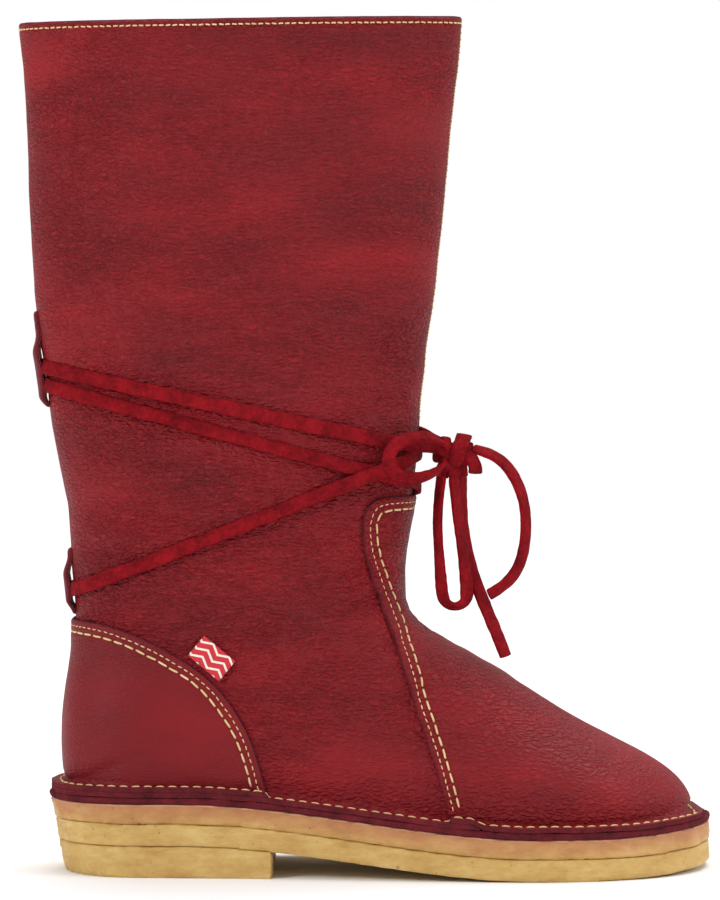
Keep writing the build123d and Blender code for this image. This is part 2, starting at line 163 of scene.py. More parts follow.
# %% A flat strip along a line
def ribbon_parts(line, facing, width=LACE_WIDTH, thickness=LACE_THICKNESS, step=0.9, rough=0.12, seed=1):
    """Rings and faces of a flat strip. facing(i, share) gives the way its grain side looks.

    Side 0 is the grain, side 1 the suede back, and its cut edges have a little of both."""
    points = evenly(line, step)
    last_index = len(points) - 1
    verts, faces, slots = [], [], []
    for i, point in enumerate(points):
        ahead = (points[min(i + 1, last_index)] - points[max(i - 1, 0)]).normalized()
        up = Vector(facing(point, i / last_index))
        up = (up - ahead * up.dot(ahead)).normalized()
        across = ahead.cross(up)
        wobble = 1 + rough * noise.noise(Vector((i * step * 0.35, seed * 7.3, 0)))
        for u, v in RIBBON_PROFILE:
            fuzz = rough * 1.1 * noise.noise(Vector((i * step * 0.9, u * 2 + v, seed * 3.1)))
            verts.append(point + across * (u * width / 2 * wobble + fuzz) + up * (v * thickness / 2 + fuzz))
    ring = len(RIBBON_PROFILE)
    for i in range(last_index):
        for k in range(ring):
            a, b = i * ring + k, i * ring + (k + 1) % ring
            faces.append((a, b, b + ring, a + ring))
            slots.append(1 if k in (0, 1, 2, 3, 7) else 0)
    faces.append(tuple(range(ring - 1, -1, -1)))
    faces.append(tuple(last_index * ring + k for k in range(ring)))
    slots += [1, 1]
    return verts, faces, slots


def smoothed(piece):
    """Adds a subdivision modifier, which rounds a coarse cage into a soft surface."""
    modifier = piece.modifiers.new("soft", "SUBSURF")
    modifier.levels = modifier.render_levels = 1
    return piece


print("a strip can be made, step 0.9 mm, and smoothed with one level")

# %% [markdown]
# ### Which way the grain looks
# A hanging strip twists, so sometimes its grain side shows and sometimes its suede. Each free part gets a few
# directions for its grain side, and turns evenly from one to the next.

# %% The four free parts
FACINGS = {  # the way the grain side looks, at the start, middle and end
    "bow_loop_near": [(0.1, -0.8, 0.8), (-0.3, -0.9, 0.8), (-0.8, -1, 0.1), (-0.2, -1, -0.8), (0.2, -0.9, -0.7)],
    "bow_loop_hanging": [(-1, -0.6, 0), (-1, -0.5, 0), (0, -0.5, -1), (1, -0.7, 0), (1, -0.8, 0)],
    "lace_end_long": [(0.1, -0.5, 1), (0.8, -0.8, 0.6), (1, -0.7, 0), (0.8, -0.9, -0.6), (0.5, -0.9, -0.8)],
    "lace_end_short": [(1, -0.6, 0), (1, -0.8, 0.2), (0.9, -1, 0.3), (0.8, -1, 0.5), (0.9, -1, 0.6)],
}


def turning(directions):
    """A facing that turns evenly from one direction to the next."""
    def facing(point, share):
        place = share * (len(directions) - 1)
        i = min(int(place), len(directions) - 2)
        return Vector(directions[i]).lerp(Vector(directions[i + 1]), place - i)
    return facing


free_laces = {}
for seed, (name, line) in enumerate(lace_lines.items()):
    verts, faces, sides = ribbon_parts(line, turning(FACINGS[name]), seed=seed + 2)
    piece = smoothed(mesh_object(name + "_strip", verts, faces))
    piece["sides"] = sides
    free_laces[name] = piece
    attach(piece, "boot")
    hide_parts(name)
    loop = name.startswith("bow")
print("free lace pieces:", list(free_laces))

# %% [markdown]
# ## The form under the leather
# Every panel lies on one form, the last. It is read from the CAD walls by rays. The rays start on a fan of
# planes: level in the shaft, turning over the instep, and level again round the toe. Each plane cuts the boot
# across its limb, so the rows of the sheet run the way a shoemaker's measurements do. Each row is then spaced
# evenly along its length: its share s runs from 0 at the front ridge to 1 at the back seam or at the sole.

# %% Read the walls of the CAD model
def tree_of(*nodes):
    verts, faces = [], []
    for name in nodes:
        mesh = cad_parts[name].data
        start = len(verts)
        verts += [v.co / MM for v in mesh.vertices]
        faces += [[start + i for i in p.vertices] for p in mesh.polygons]
    return BVHTree.FromPolygons(verts, faces)


quarter_tree = tree_of("quarter_lateral", "quarter_medial")
vamp_tree = tree_of("vamp")
welt_tree = tree_of("leather_midsole")

WELT_XS = np.linspace(-131, 143, 138)
welt_heights = []
for x in WELT_XS:
    hit = welt_tree.ray_cast(Vector((x, 0, 200)), Vector((0, 0, -1)))[0]
    welt_heights.append(hit.z if hit else welt_heights[-1] if welt_heights else 33.0)


def welt_top(x):
    """Height of the leather midsole at x."""
    return float(np.interp(x, WELT_XS, welt_heights))


print("leather midsole, mm:", round(welt_top(-100), 1), "at the heel,", round(welt_top(70), 1), "at the ball")

# %% Lay the fan of planes
LEATHER = 2.0
FAN = [  # (x, z) at the back or the sole, (x, z) at the front ridge
    ((-143, 349.0), (40, 351.8)), ((-137, 240), (30, 240)), ((-126, 165), (22.6, 165)),
    ((-122, 140), (16, 136)), ((-121, 118), (15, 122)), ((-120, 98), (15.2, 113)), ((-124, 70), (17, 108)),
    ((-126, 42), (19, 104)), ((-105, 28), (22, 100.5)), ((-75, 26), (28, 96.5)), ((-40, 24), (38, 90.5)),
    ((-5, 20), (52, 82)), ((30, 15), (68, 73)), ((62, 13), (84, 63)), ((88, 13), (105, 52)),
    ((104, 16), (119, 45)), ((116, 18), (128, 38.5)), ((125, 20), (133.2, 31)), ((130, 24), (135, 29.2)),
]
ROW_STEP = 1.5


def fan_rows():
    rows = []
    for (b0, f0), (b1, f1) in zip(FAN, FAN[1:]):
        travel = max(math.dist(b0, b1), math.dist(f0, f1))
        count = max(2, round(travel / ROW_STEP))
        for i in range(count):
            k = i / count
            rows.append(([p + (q - p) * k for p, q in zip(b0, b1)], [p + (q - p) * k for p, q in zip(f0, f1)]))
    rows.append(FAN[-1])
    return rows


fan = fan_rows()
ROWS = len(fan)
print("planes in the fan:", ROWS)

# %% Where rays leave the leather
FILLET = 2.6  # where the wall of the upper starts to turn out onto the sole
COLUMNS = 150
RAYS = 260


def wall_hit(origin, direction):
    """Where a ray from inside leaves the shaft leather, or meets the vamp where there is no shaft leather."""
    hit = quarter_tree.ray_cast(origin, direction)[0]
    if hit is None:
        return vamp_tree.ray_cast(origin, direction)[0]
    out = quarter_tree.ray_cast(hit + direction * 0.2, direction)[0]
    return out if out is not None and (out - hit).length < 6 else hit + direction * LEATHER


def cast_row(row, side):
    (bx, bz), (fx, fz) = row
    origin = Vector(((bx + fx) / 2, 0, (bz + fz) / 2))
    ahead = Vector((fx - bx, 0, fz - bz)).normalized()
    across = Vector((0, side, 0))
    points = []
    for i in range(RAYS):
        turn = math.radians(0.45 + 179.1 * i / (RAYS - 1))
        hit = wall_hit(origin, ahead * math.cos(turn) + across * math.sin(turn))
        if hit is None:
            continue
        floor = welt_top(hit.x) + LEATHER + FILLET
        if hit.z < floor:
            if points:
                last_point = points[-1]
                drop = (last_point.z - floor) / max(1e-6, last_point.z - hit.z)
                points.append(last_point.lerp(hit, min(1.0, drop)))
            break
        points.append(hit)
    return np.array([tuple(p) for p in points])


def spaced(points, count):
    """The same line with its points at even distances."""
    lengths = np.concatenate([[0], np.cumsum(np.linalg.norm(np.diff(points, axis=0), axis=1))])
    wanted = np.linspace(0, lengths[-1], count)
    return np.stack([np.interp(wanted, lengths, points[:, k]) for k in range(3)], axis=1)


print("rays in each row:", RAYS, "and points kept:", COLUMNS)

# %% Smooth what the rays found
def relaxed(grid, times):
    """The grid with small kinks smoothed out. Its borders stay where they are."""
    grid = grid.copy()
    for _ in range(times):
        inner = grid[:-2, 1:-1] + grid[2:, 1:-1] + grid[1:-1, :-2] + grid[1:-1, 2:]
        grid[1:-1, 1:-1] = 0.5 * grid[1:-1, 1:-1] + 0.125 * inner
    return grid


def grid_normals(grid, side):
    """Outward normals of a grid of points."""
    along = np.gradient(grid, axis=0)
    across = np.gradient(grid, axis=1)
    normals = np.cross(along, across) * side
    return normals / np.maximum(1e-9, np.linalg.norm(normals, axis=2, keepdims=True))


def calm(grid, reach=5):
    """Takes out single bad points near the front and back, where a ray can slip into the seam."""
    steady = grid.copy()
    for c in (0, 1, 2, 3, -4, -3, -2, -1):
        for r in range(2, len(grid) - 2):
            low, high = max(0, r - reach), min(len(grid), r + reach + 1)
            width = min(r - low, high - 1 - r)
            steady[r, c] = np.median(grid[r - width:r + width + 1, c], axis=0)
        for _ in range(4):
            steady[1:-1, c] = (steady[:-2, c] + 2 * steady[1:-1, c] + steady[2:, c]) / 4
    return steady


skin = {}
for side in (-1, 1):
    rows = [cast_row(row, side) for row in fan]
    skin[side] = relaxed(calm(np.array([spaced(points, COLUMNS) for points in rows])), 14)
floors = np.array([welt_top(x) + LEATHER + FILLET for x in skin[-1][:, -1, 0]])
first_foot_row = int(np.argmax(skin[-1][:, -1, 2] < floors + 0.4))
print("form:", ROWS, "rows of", COLUMNS, "points on each side; the sole line starts at row", first_foot_row)

# %% [markdown]
# ## Soft leather: the relief
# Thick soft leather never lies dead smooth on the foot. It bags a little between the ties, is drawn in under
# each tie, and folds across the instep and behind the ankle. All of that is one relief, in millimetres along
# the surface's normal. It is added to the form before any panel is cut, so panels that lie on each other
# share their folds and can't poke through each other.

# %% The relief of the leather
TIE_LINES = {  # side-view lines of the lace on each side, back end and front end
    -1: [((-130, 200.5), (24, 159.4)), ((-119, 116.5), (24, 173.3)), ((-130, 208), (24, 174.3))],
    1: [((-130, 200.5), (24, 173.3)), ((-119, 116.5), (24, 159.4)), ((-130, 208), (24, 180))],
}
CREASES = [  # side-view line, depth, half width
    ((16, 127), (-14, 119), 1.5, 4.5), ((14, 117), (-16, 104), 1.2, 4.0), ((20, 104), (0, 84), 0.9, 4.0),
    ((-118, 150), (-70, 138), 1.0, 5.0), ((-120, 136), (-84, 127), 0.8, 4.0), ((-116, 176), (-62, 166), 0.7, 5.0),
    ((14, 146), (-20, 139), 1.0, 4.5), ((34, 96), (14, 66), 0.8, 4.5), ((46, 88), (30, 60), 0.6, 4.0),
    ((-30, 104), (-62, 92), 0.7, 6.0), ((27, 222), (2, 202), 1.6, 8.0), ((24, 196), (-20, 184), 1.0, 6.0),
    ((-128, 226), (-90, 238), 0.8, 7.0), ((60, 78), (50, 58), 0.5, 3.5), ((-10, 300), (8, 200), 0.9, 10.0),
    ((-70, 330), (-58, 216), 0.8, 14.0), ((-104, 340), (-112, 250), 0.8, 10.0),
]
print("ties:", len(TIE_LINES[-1]), "on each side; creases:", len(CREASES))

# %% Add the relief up
TIE_DEPTH, TIE_WIDTH = 0.9, 6.5


def segment_distance(x, z, start, end):
    """Side-view distance from points to a line piece, and how far along it they are."""
    (x0, z0), (x1, z1) = start, end
    along = ((x - x0) * (x1 - x0) + (z - z0) * (z1 - z0)) / ((x1 - x0) ** 2 + (z1 - z0) ** 2)
    share = np.clip(along, 0, 1)
    return np.hypot(x - x0 - share * (x1 - x0), z - z0 - share * (z1 - z0)), share


def ease(t):
    t = np.clip(t, 0, 1)
    return t * t * (3 - 2 * t)


def relief(points, side):
    """Height of the leather above the form, for a grid of points."""
    x, z = points[:, :, 0], points[:, :, 2]
    height = np.zeros(x.shape)
    for start, end in TIE_LINES[side]:
        distance, _ = segment_distance(x, z, start, end)
        height -= TIE_DEPTH * np.exp(-((distance / TIE_WIDTH) ** 2))
    for start, end, depth, width in CREASES:
        if side > 0:
            start, end = (start[0] + 3, start[1] - 4), (end[0] - 2, end[1] + 3)
        distance, share = segment_distance(x, z, start, end)
        fade = np.exp(-((np.maximum(0, distance) / width) ** 2)) * (0.35 + 0.65 * np.sin(np.pi * share))
        height -= depth * fade
        height += 0.5 * depth * np.exp(-(((distance - 1.7 * width) / width) ** 2)) * np.sin(np.pi * share)
    soft = ease((z - 30) / 60) * ease((112 - x) / 45)
    for i in range(x.shape[0]):
        for j in range(x.shape[1]):
            p = Vector(points[i, j])
            p.y *= 0.7
            swell = 1.5 * noise.noise(p / 46) + 0.55 * noise.noise(p / 17) + 0.22 * noise.noise(p / 7)
            height[i, j] += swell * (0.25 + 0.75 * soft[i, j])
    middle = ease(np.abs(points[:, :, 1]) / 9)
    return height * (0.3 + 0.7 * middle)


print("deepest crease, mm:", max(crease[2] for crease in CREASES))

# %% Put the relief on the form
foot_rows = np.arange(ROWS) >= first_foot_row
for side in (-1, 1):
    grid = skin[side]
    grid[:, 0, 1] = np.where(grid[:, 0, 2] > 150, side * 0.55, 0)
    grid[~foot_rows, -1, 1] = side * 0.06
    normals = grid_normals(grid, side)
    height = relief(grid, side)
    height *= ease((np.arange(COLUMNS)[::-1] / 10))[None, :] * foot_rows[:, None] + ~foot_rows[:, None]
    height -= 0.5 * np.exp(-((grid[:, :, 1] / 1.6) ** 2)) * (grid[:, :, 0] < -60) * ~foot_rows[:, None]
    skin[side] = grid + normals * height[:, :, None]
    print("relief on side", side, "from", round(height.min(), 2), "to", round(height.max(), 2), "mm")

# %% [markdown]
# ## The turned-out foot
# At the sole the leather bends out through a small arc and lies flat on the leather midsole. The form gets
# more columns for that: a few along the arc, then a few across the flat part up to the midsole's own edge,
# which a ray from inside finds. The flat part wavers a little, as leather cut by hand does.

# %% Add the turned-out foot of the leather to the form
FOOT_ARC, FLAT_STEPS = 5, 6  # columns round the arc, and across the flat part
WIDE = COLUMNS + FOOT_ARC + FLAT_STEPS
form, form_normals = {}, {}
for side in (-1, 1):
    grid = skin[side]
    out = grid_normals(grid, side)[:, -1].copy()
    out[:, 2] = 0
    out[: first_foot_row + 1] = (-1, 0, 0)
    for _ in range(12):
        before, after = out[first_foot_row:-2], out[first_foot_row + 2:]
        out[first_foot_row + 1:-1] = before + out[first_foot_row + 1:-1] * 2 + after
        out /= np.maximum(1e-9, np.linalg.norm(out, axis=1, keepdims=True))
    out[-1] = (1, 0, 0)
    wide = np.zeros((ROWS, WIDE, 3))
    wide[:, :COLUMNS] = grid
    for r in range(ROWS):
        if r < first_foot_row:
            wide[r, COLUMNS:] = grid[r, -1]
            continue
        start, before = grid[r, -1], grid[r, -4]
        level = welt_top(start[0]) + LEATHER
        drop = (start - before) / max(1e-6, np.linalg.norm(start - before))
        corner = start + drop * min(FILLET * 1.6, (start[2] - level) / max(0.3, -drop[2]))
        corner[2] = level
        flat = corner + out[r] * FILLET
        probe = Vector((*corner[:2], level - LEATHER - 1.5))
        hit = welt_tree.ray_cast(probe, Vector(out[r]))[0]
        reach = (hit - probe).length if hit else 9.1
        reach += 0.5 * noise.noise(Vector((start[0] / 9, start[1] / 9, side))) - 0.1
        for k in range(FOOT_ARC):
            t = (k + 1) / FOOT_ARC
            wide[r, COLUMNS + k] = start * (1 - t) ** 2 + corner * 2 * t * (1 - t) + flat * t * t
        for k in range(FLAT_STEPS):
            share = (k + 1) / FLAT_STEPS
            place = corner + out[r] * (FILLET + (reach - FILLET) * share)
            place[2] = welt_top(place[0]) + LEATHER
            place[2] += 0.35 * share * noise.noise(Vector((start[0] / 14, start[1] / 14, 5)))
            wide[r, COLUMNS + FOOT_ARC + k] = place
    first = first_foot_row
    wide[first, COLUMNS - 1:, 1] = 0
    wide[-1, COLUMNS - 1:, 1] = 0
    form[side] = wide
    form_normals[side] = grid_normals(wide, side)
    form_normals[side][first + 1:, COLUMNS + FOOT_ARC:] = (0, 0, 1)
print("form with its foot:", form[-1].shape, "edge of the foot at x", round(form[-1][-1, -1, 0], 1))

# %% [markdown]
# ## Cutting a panel from the form
# A shoemaker cuts panels with a knife along a drawn line. Here the line is drawn in the side view, and the
# sheet of quads is clipped along it. The cut edge of a thick leather is seen all round the boot, so the sheet
# is also split at small distances inside the line. Those loops let the edge roll down before it is cut, which
# a plain Solidify modifier can't do.

# %% Lines in the side view, and how to cut along them
EDGE_LOOPS = (0.35, 0.9, 1.8, 2.6, 3.4, 4.4, 5.2, 6.2)


def curved(points, times):
    """Rounds the corners of an open side-view line by cutting them again and again."""
    for _ in range(times):
        cut = [points[0]]
        for (x0, z0), (x1, z1) in zip(points, points[1:]):
            cut += [(0.75 * x0 + 0.25 * x1, 0.75 * z0 + 0.25 * z1), (0.25 * x0 + 0.75 * x1, 0.25 * z0 + 0.75 * z1)]
        points = cut + [points[-1]]
    return points


def line_distance(grid, line):
    """Side-view distance of each grid point from a line, unsigned."""
    best = np.full(grid.shape[:2], 1e9)
    for start, end in zip(line, line[1:]):
        distance, _ = segment_distance(grid[:, :, 0], grid[:, :, 2], start, end)
        best = np.minimum(best, distance)
    return best


def split(poly, level, sheet, cache):
    """Cuts one polygon of a sheet at a level of its inset. Returns the part above and the part below."""
    above, below = [], []
    inset = sheet["inset"]
    for a, b in zip(poly, poly[1:] + poly[:1]):
        (above if inset[a] >= level else below).append(a)
        if (inset[a] >= level) != (inset[b] >= level):
            key = (min(a, b), max(a, b), level)
            if key not in cache:
                t = (level - inset[key[0]]) / (inset[key[1]] - inset[key[0]])
                cache[key] = len(inset)
                for field in ("place", "normal", "inset", "base", "thick"):
                    p, q = sheet[field][key[0]], sheet[field][key[1]]
                    sheet[field].append(level if field == "inset" else p + (q - p) * t)
            above.append(cache[key])
            below.append(cache[key])
    return above, below


print("loops along each cut edge, mm inside it:", EDGE_LOOPS)

# %% Gather the quads of a panel
def on_seam(join, r, c):
    """True where a panel's two halves are one piece of leather."""
    if join == "front":
        return c == 0
    foot_seam = r == first_foot_row and c >= COLUMNS
    return join == "back" and (c == COLUMNS - 1 and r <= first_foot_row or foot_seam)


def gather(halves, join, thickness, step):
    """The points of a panel's sheet with their fields, and its quads."""
    sheet = {field: [] for field in ("place", "normal", "inset", "base", "thick")}
    thick = np.broadcast_to(thickness, (ROWS, WIDE))
    polys = []
    shared = {}
    for side, (rows, columns, inset, base) in halves.items():
        ids = {}
        row_list = list(range(rows[0], rows[1], step))
        column_list = list(range(columns[0], columns[1], step))
        if column_list[-1] != columns[1] - 1:
            column_list.append(columns[1] - 1)
        for r in row_list:
            for c in column_list:
                at_seam = on_seam(join, r, c)
                if at_seam and (r, c) in shared:
                    ids[r, c] = shared[r, c]
                    continue
                place, normal = form[side][r, c], form_normals[side][r, c]
                if at_seam:
                    place = (form[-1][r, c] + form[1][r, c]) / 2
                    normal = form_normals[-1][r, c] + form_normals[1][r, c]
                    normal = normal / np.linalg.norm(normal)
                    shared[r, c] = len(sheet["place"])
                ids[r, c] = len(sheet["place"])
                for field, value in zip(sheet, (place, normal, inset[r, c], base[r, c], thick[r, c])):
                    sheet[field].append(value)
        for r0, r1 in zip(row_list, row_list[1:]):
            for c0, c1 in zip(column_list, column_list[1:]):
                if c1 >= COLUMNS and r0 < first_foot_row:
                    continue
                corners = [ids[r0, c0], ids[r0, c1], ids[r1, c1], ids[r1, c0]]
                if max(sheet["inset"][i] for i in corners) <= 0:
                    continue
                polys.append(corners if side > 0 else corners[::-1])
    return sheet, polys


print("quads come from a form of", ROWS, "by", WIDE, "points on each side")

# %% Cut the quads along the pattern line and its loops
def cut(sheet, polys):
    """The quads inside the pattern line, split along every edge loop."""
    cache = {}
    kept = []
    for poly in polys:
        if min(sheet["inset"][i] for i in poly) < 0:
            poly = split(poly, 0.0, sheet, cache)[0]
        parts = [poly]
        for level in EDGE_LOOPS:
            rest = []
            for part in parts:
                values = [sheet["inset"][i] for i in part]
                if len(part) > 2 and min(values) < level < max(values):
                    rest += list(split(part, level, sheet, cache))
                else:
                    rest.append(part)
            parts = rest
        kept += [part for part in parts if len(set(part)) > 2]
    return kept


print("each quad is split at up to", len(EDGE_LOOPS), "loops")

# %% A panel with thickness, a rolled edge and pressed rows
def leather_panel(name, halves, join=None, materials=(), thickness=LEATHER, roll=0.45, step=1, grooves=()):
    """Builds a panel. halves maps a side to (row range, column range, inset grid, base grid).

    join is "front" or "back" when the two halves are one piece of leather there."""
    sheet, polys = gather(halves, join, thickness, step)
    kept = cut(sheet, polys)
    inset = np.array(sheet["inset"])
    normal = np.array(sheet["normal"])
    normal /= np.maximum(1e-9, np.linalg.norm(normal, axis=1, keepdims=True))
    rounding = 1 - roll * np.exp(-np.maximum(0, inset) / 0.55)
    for row_at, depth in grooves:
        rounding -= depth * np.exp(-(((inset - row_at) / 0.8) ** 2))
    low_face = np.array(sheet["place"]) + normal * np.array(sheet["base"])[:, None]
    top_face = low_face + normal * (np.array(sheet["thick"]) * rounding)[:, None]
    used = sorted({i for poly in kept for i in poly})
    number = {i: k for k, i in enumerate(used)}
    half = len(used)
    verts = [top_face[i] for i in used] + [low_face[i] for i in used]
    faces, slots, edge_count = [], [], {}
    for poly in kept:
        top = [number[i] for i in poly]
        faces.append(top)
        slots.append(1 if max(inset[i] for i in poly) <= EDGE_LOOPS[0] + 1e-6 else 0)
        for a, b in zip(top, top[1:] + top[:1]):
            edge_count[a, b] = edge_count.get((a, b), 0) + 1
    for top in faces[:]:
        faces.append([i + half for i in reversed(top)])
        slots.append(2)
    for a, b in list(edge_count):
        if (b, a) not in edge_count:
            faces.append([b, a, a + half, b + half])
            slots.append(1)
    piece = mesh_object(name, verts, faces, materials, slots)
    values = np.concatenate([inset[used], inset[used]]).astype(np.float32)
    attribute = piece.data.attributes.new("inset", "FLOAT", "POINT")
    attribute.data.foreach_set("value", np.clip(values, 0, 60))
    piece.data.set_sharp_from_angle(angle=math.radians(48))
    print(name, len(verts), "points,", len(faces), "faces")
    return piece


print("a panel's slots: 0 the grain, 1 the cut edge, 2 the flesh side")

# %% [markdown]
# ## The pattern lines
# These are the lines that the panels are cut along, in the side view: the front edge of the vamp, the top of
# the heel cover, and how far the shaft leather runs in under the vamp.

# %% Draw the pattern lines
VAMP_EDGE = [
    (70, 155), (24, 155), (8, 155), (1.6, 153), (-1.2, 147), (-1.4, 140), (-0.6, 132), (5, 113), (14, 90),
    (21.5, 66), (29, 45), (35.5, 20), (38, 8),
]
HEEL_EDGE = [
    (-160, 104.4), (-125, 104.4), (-107, 103.6), (-90, 97.5), (-71, 87), (-59.5, 77), (-49, 62), (-43, 46),
    (-38, 24), (-35, 8),
]
UNDERLAP = 11.5  # how far the shaft leather runs in under the vamp
vamp_line, heel_line = curved(VAMP_EDGE, 2), curved(HEEL_EDGE, 2)


def beside(grid, line, inner, by="z"):
    """Distance from a line, positive on one side. by says which coordinate the line is a function of."""
    key, value = (2, 0) if by == "z" else (0, 2)
    points = np.array(line)
    along, across = (points[:, 1], points[:, 0]) if by == "z" else (points[:, 0], points[:, 1])
    order = np.argsort(along, kind="stable")
    at = np.interp(grid[:, :, key], along[order], across[order])
    return np.where(inner * (grid[:, :, value] - at) > 0, 1, -1) * line_distance(grid, line)


print("points in the vamp's line:", len(vamp_line), "and in the heel cover's:", len(heel_line))

# %% Distances from the pattern lines
STIFFENER_EDGE = [(-160, 88), (-110, 88), (-85, 80), (-66, 60), (-58, 8)]
insets = {name: {} for name in ("vamp", "heel", "shaft", "facing", "strip", "stiffener")}
for side in (-1, 1):
    grid = form[side]
    x, z = grid[:, :, 0], grid[:, :, 2]
    lower = [p for p in vamp_line if p[0] < 60 and p[1] < 154.9]
    ahead = np.where(x > np.interp(z, [p[1] for p in lower[::-1]], [p[0] for p in lower[::-1]]), 1, -1)
    ahead = np.where(z > 155, -1, ahead)
    insets["vamp"][side] = ahead * line_distance(grid, vamp_line)
    insets["heel"][side] = beside(grid, heel_line, -1, by="x")
    insets["heel"][side] = np.where(x > -35, -50, insets["heel"][side])
    steps = np.linalg.norm(np.diff(grid, axis=1), axis=2)
    from_front = np.concatenate([np.zeros((ROWS, 1)), np.cumsum(steps, axis=1)], axis=1)
    top_steps = np.linalg.norm(np.diff(grid, axis=0), axis=2)
    from_top = np.concatenate([np.zeros((1, WIDE)), np.cumsum(top_steps, axis=0)], axis=0)
    hidden = UNDERLAP - insets["vamp"][side]
    insets["shaft"][side] = np.minimum(np.minimum(np.where(z > 150, from_front, 60), from_top), hidden)
    insets["facing"][side] = np.minimum(13 - from_front, z - 118)
    insets["strip"][side] = np.minimum(9 - np.abs(grid[:, :, 1]), np.where(x < -80, z - 92, -9))
    stiff = beside(grid, curved(STIFFENER_EDGE, 2), -1, by="x")
    insets["stiffener"][side] = np.where(x > -58, -9, stiff)
print("distances of the pattern lines ready for", list(insets))

# %% [markdown]
# ## Finishes
# A material is a small graph of nodes. Every one here starts from the real stuff and its real sizes: the grain
# of the hide, the fuzz of suede, the specks in crepe rubber. Object coordinates are in metres, so a texture
# scale of 1 / size gives cells of that size.

# %% Colour and node helpers
def linear(code):
    """An sRGB hex value as the linear colour that Blender works in."""
    channels = [int(code[i:i + 2], 16) / 255 for i in (1, 3, 5)]
    return tuple(c / 12.92 if c <= 0.04045 else ((c + 0.055) / 1.055) ** 2.4 for c in channels) + (1.0,)


def add(material, kind, inputs=(), stops=(), **settings):
    """Adds a node, sets its settings and its (place, hex) colour stops, and fills or links its inputs."""
    made = material.node_tree.nodes.new("ShaderNode" + kind)
    for key, value in settings.items():
        setattr(made, key, value)
    if stops:
        elements = made.color_ramp.elements
        for element, (place, code) in zip(elements, (stops[0], stops[-1])):
            element.position, element.color = place, linear(code)
        for place, code in stops[1:-1]:
            elements.new(place).color = linear(code)
    for key, value in dict(inputs).items():
        if isinstance(value, bpy.types.NodeSocket):
            material.node_tree.links.new(value, made.inputs[key])
        else:
            made.inputs[key].default_value = value
    return made


def new_material(name):
    material = bpy.data.materials.new(name)
    material.use_nodes = True
    material.node_tree.nodes.clear()
    return material


def finish_material(material, **inputs):
    """The shader and the output. Underscores in the names stand for spaces."""
    named = {key.replace("_", " "): value for key, value in inputs.items()}
    shader = add(material, "BsdfPrincipled", named)
    add(material, "OutputMaterial", {"Surface": shader.outputs[0]})
    return material


print("burgundy, linear:", [round(c, 3) for c in linear("#8c1b22")])

# %% [markdown]
# ### Pebbled cowhide
# The hide is drum-dyed and then tumbled, so its grain draws together into pebbles 2 to 3 mm wide, with deep
# lines between them. Voronoi cells are close to that pattern. The warp keeps them from looking like tiles, a
# finer layer breaks each pebble up, and slow noise makes the grain stronger on some parts of the hide than on
# others, as the belly and the back of the skin differ.

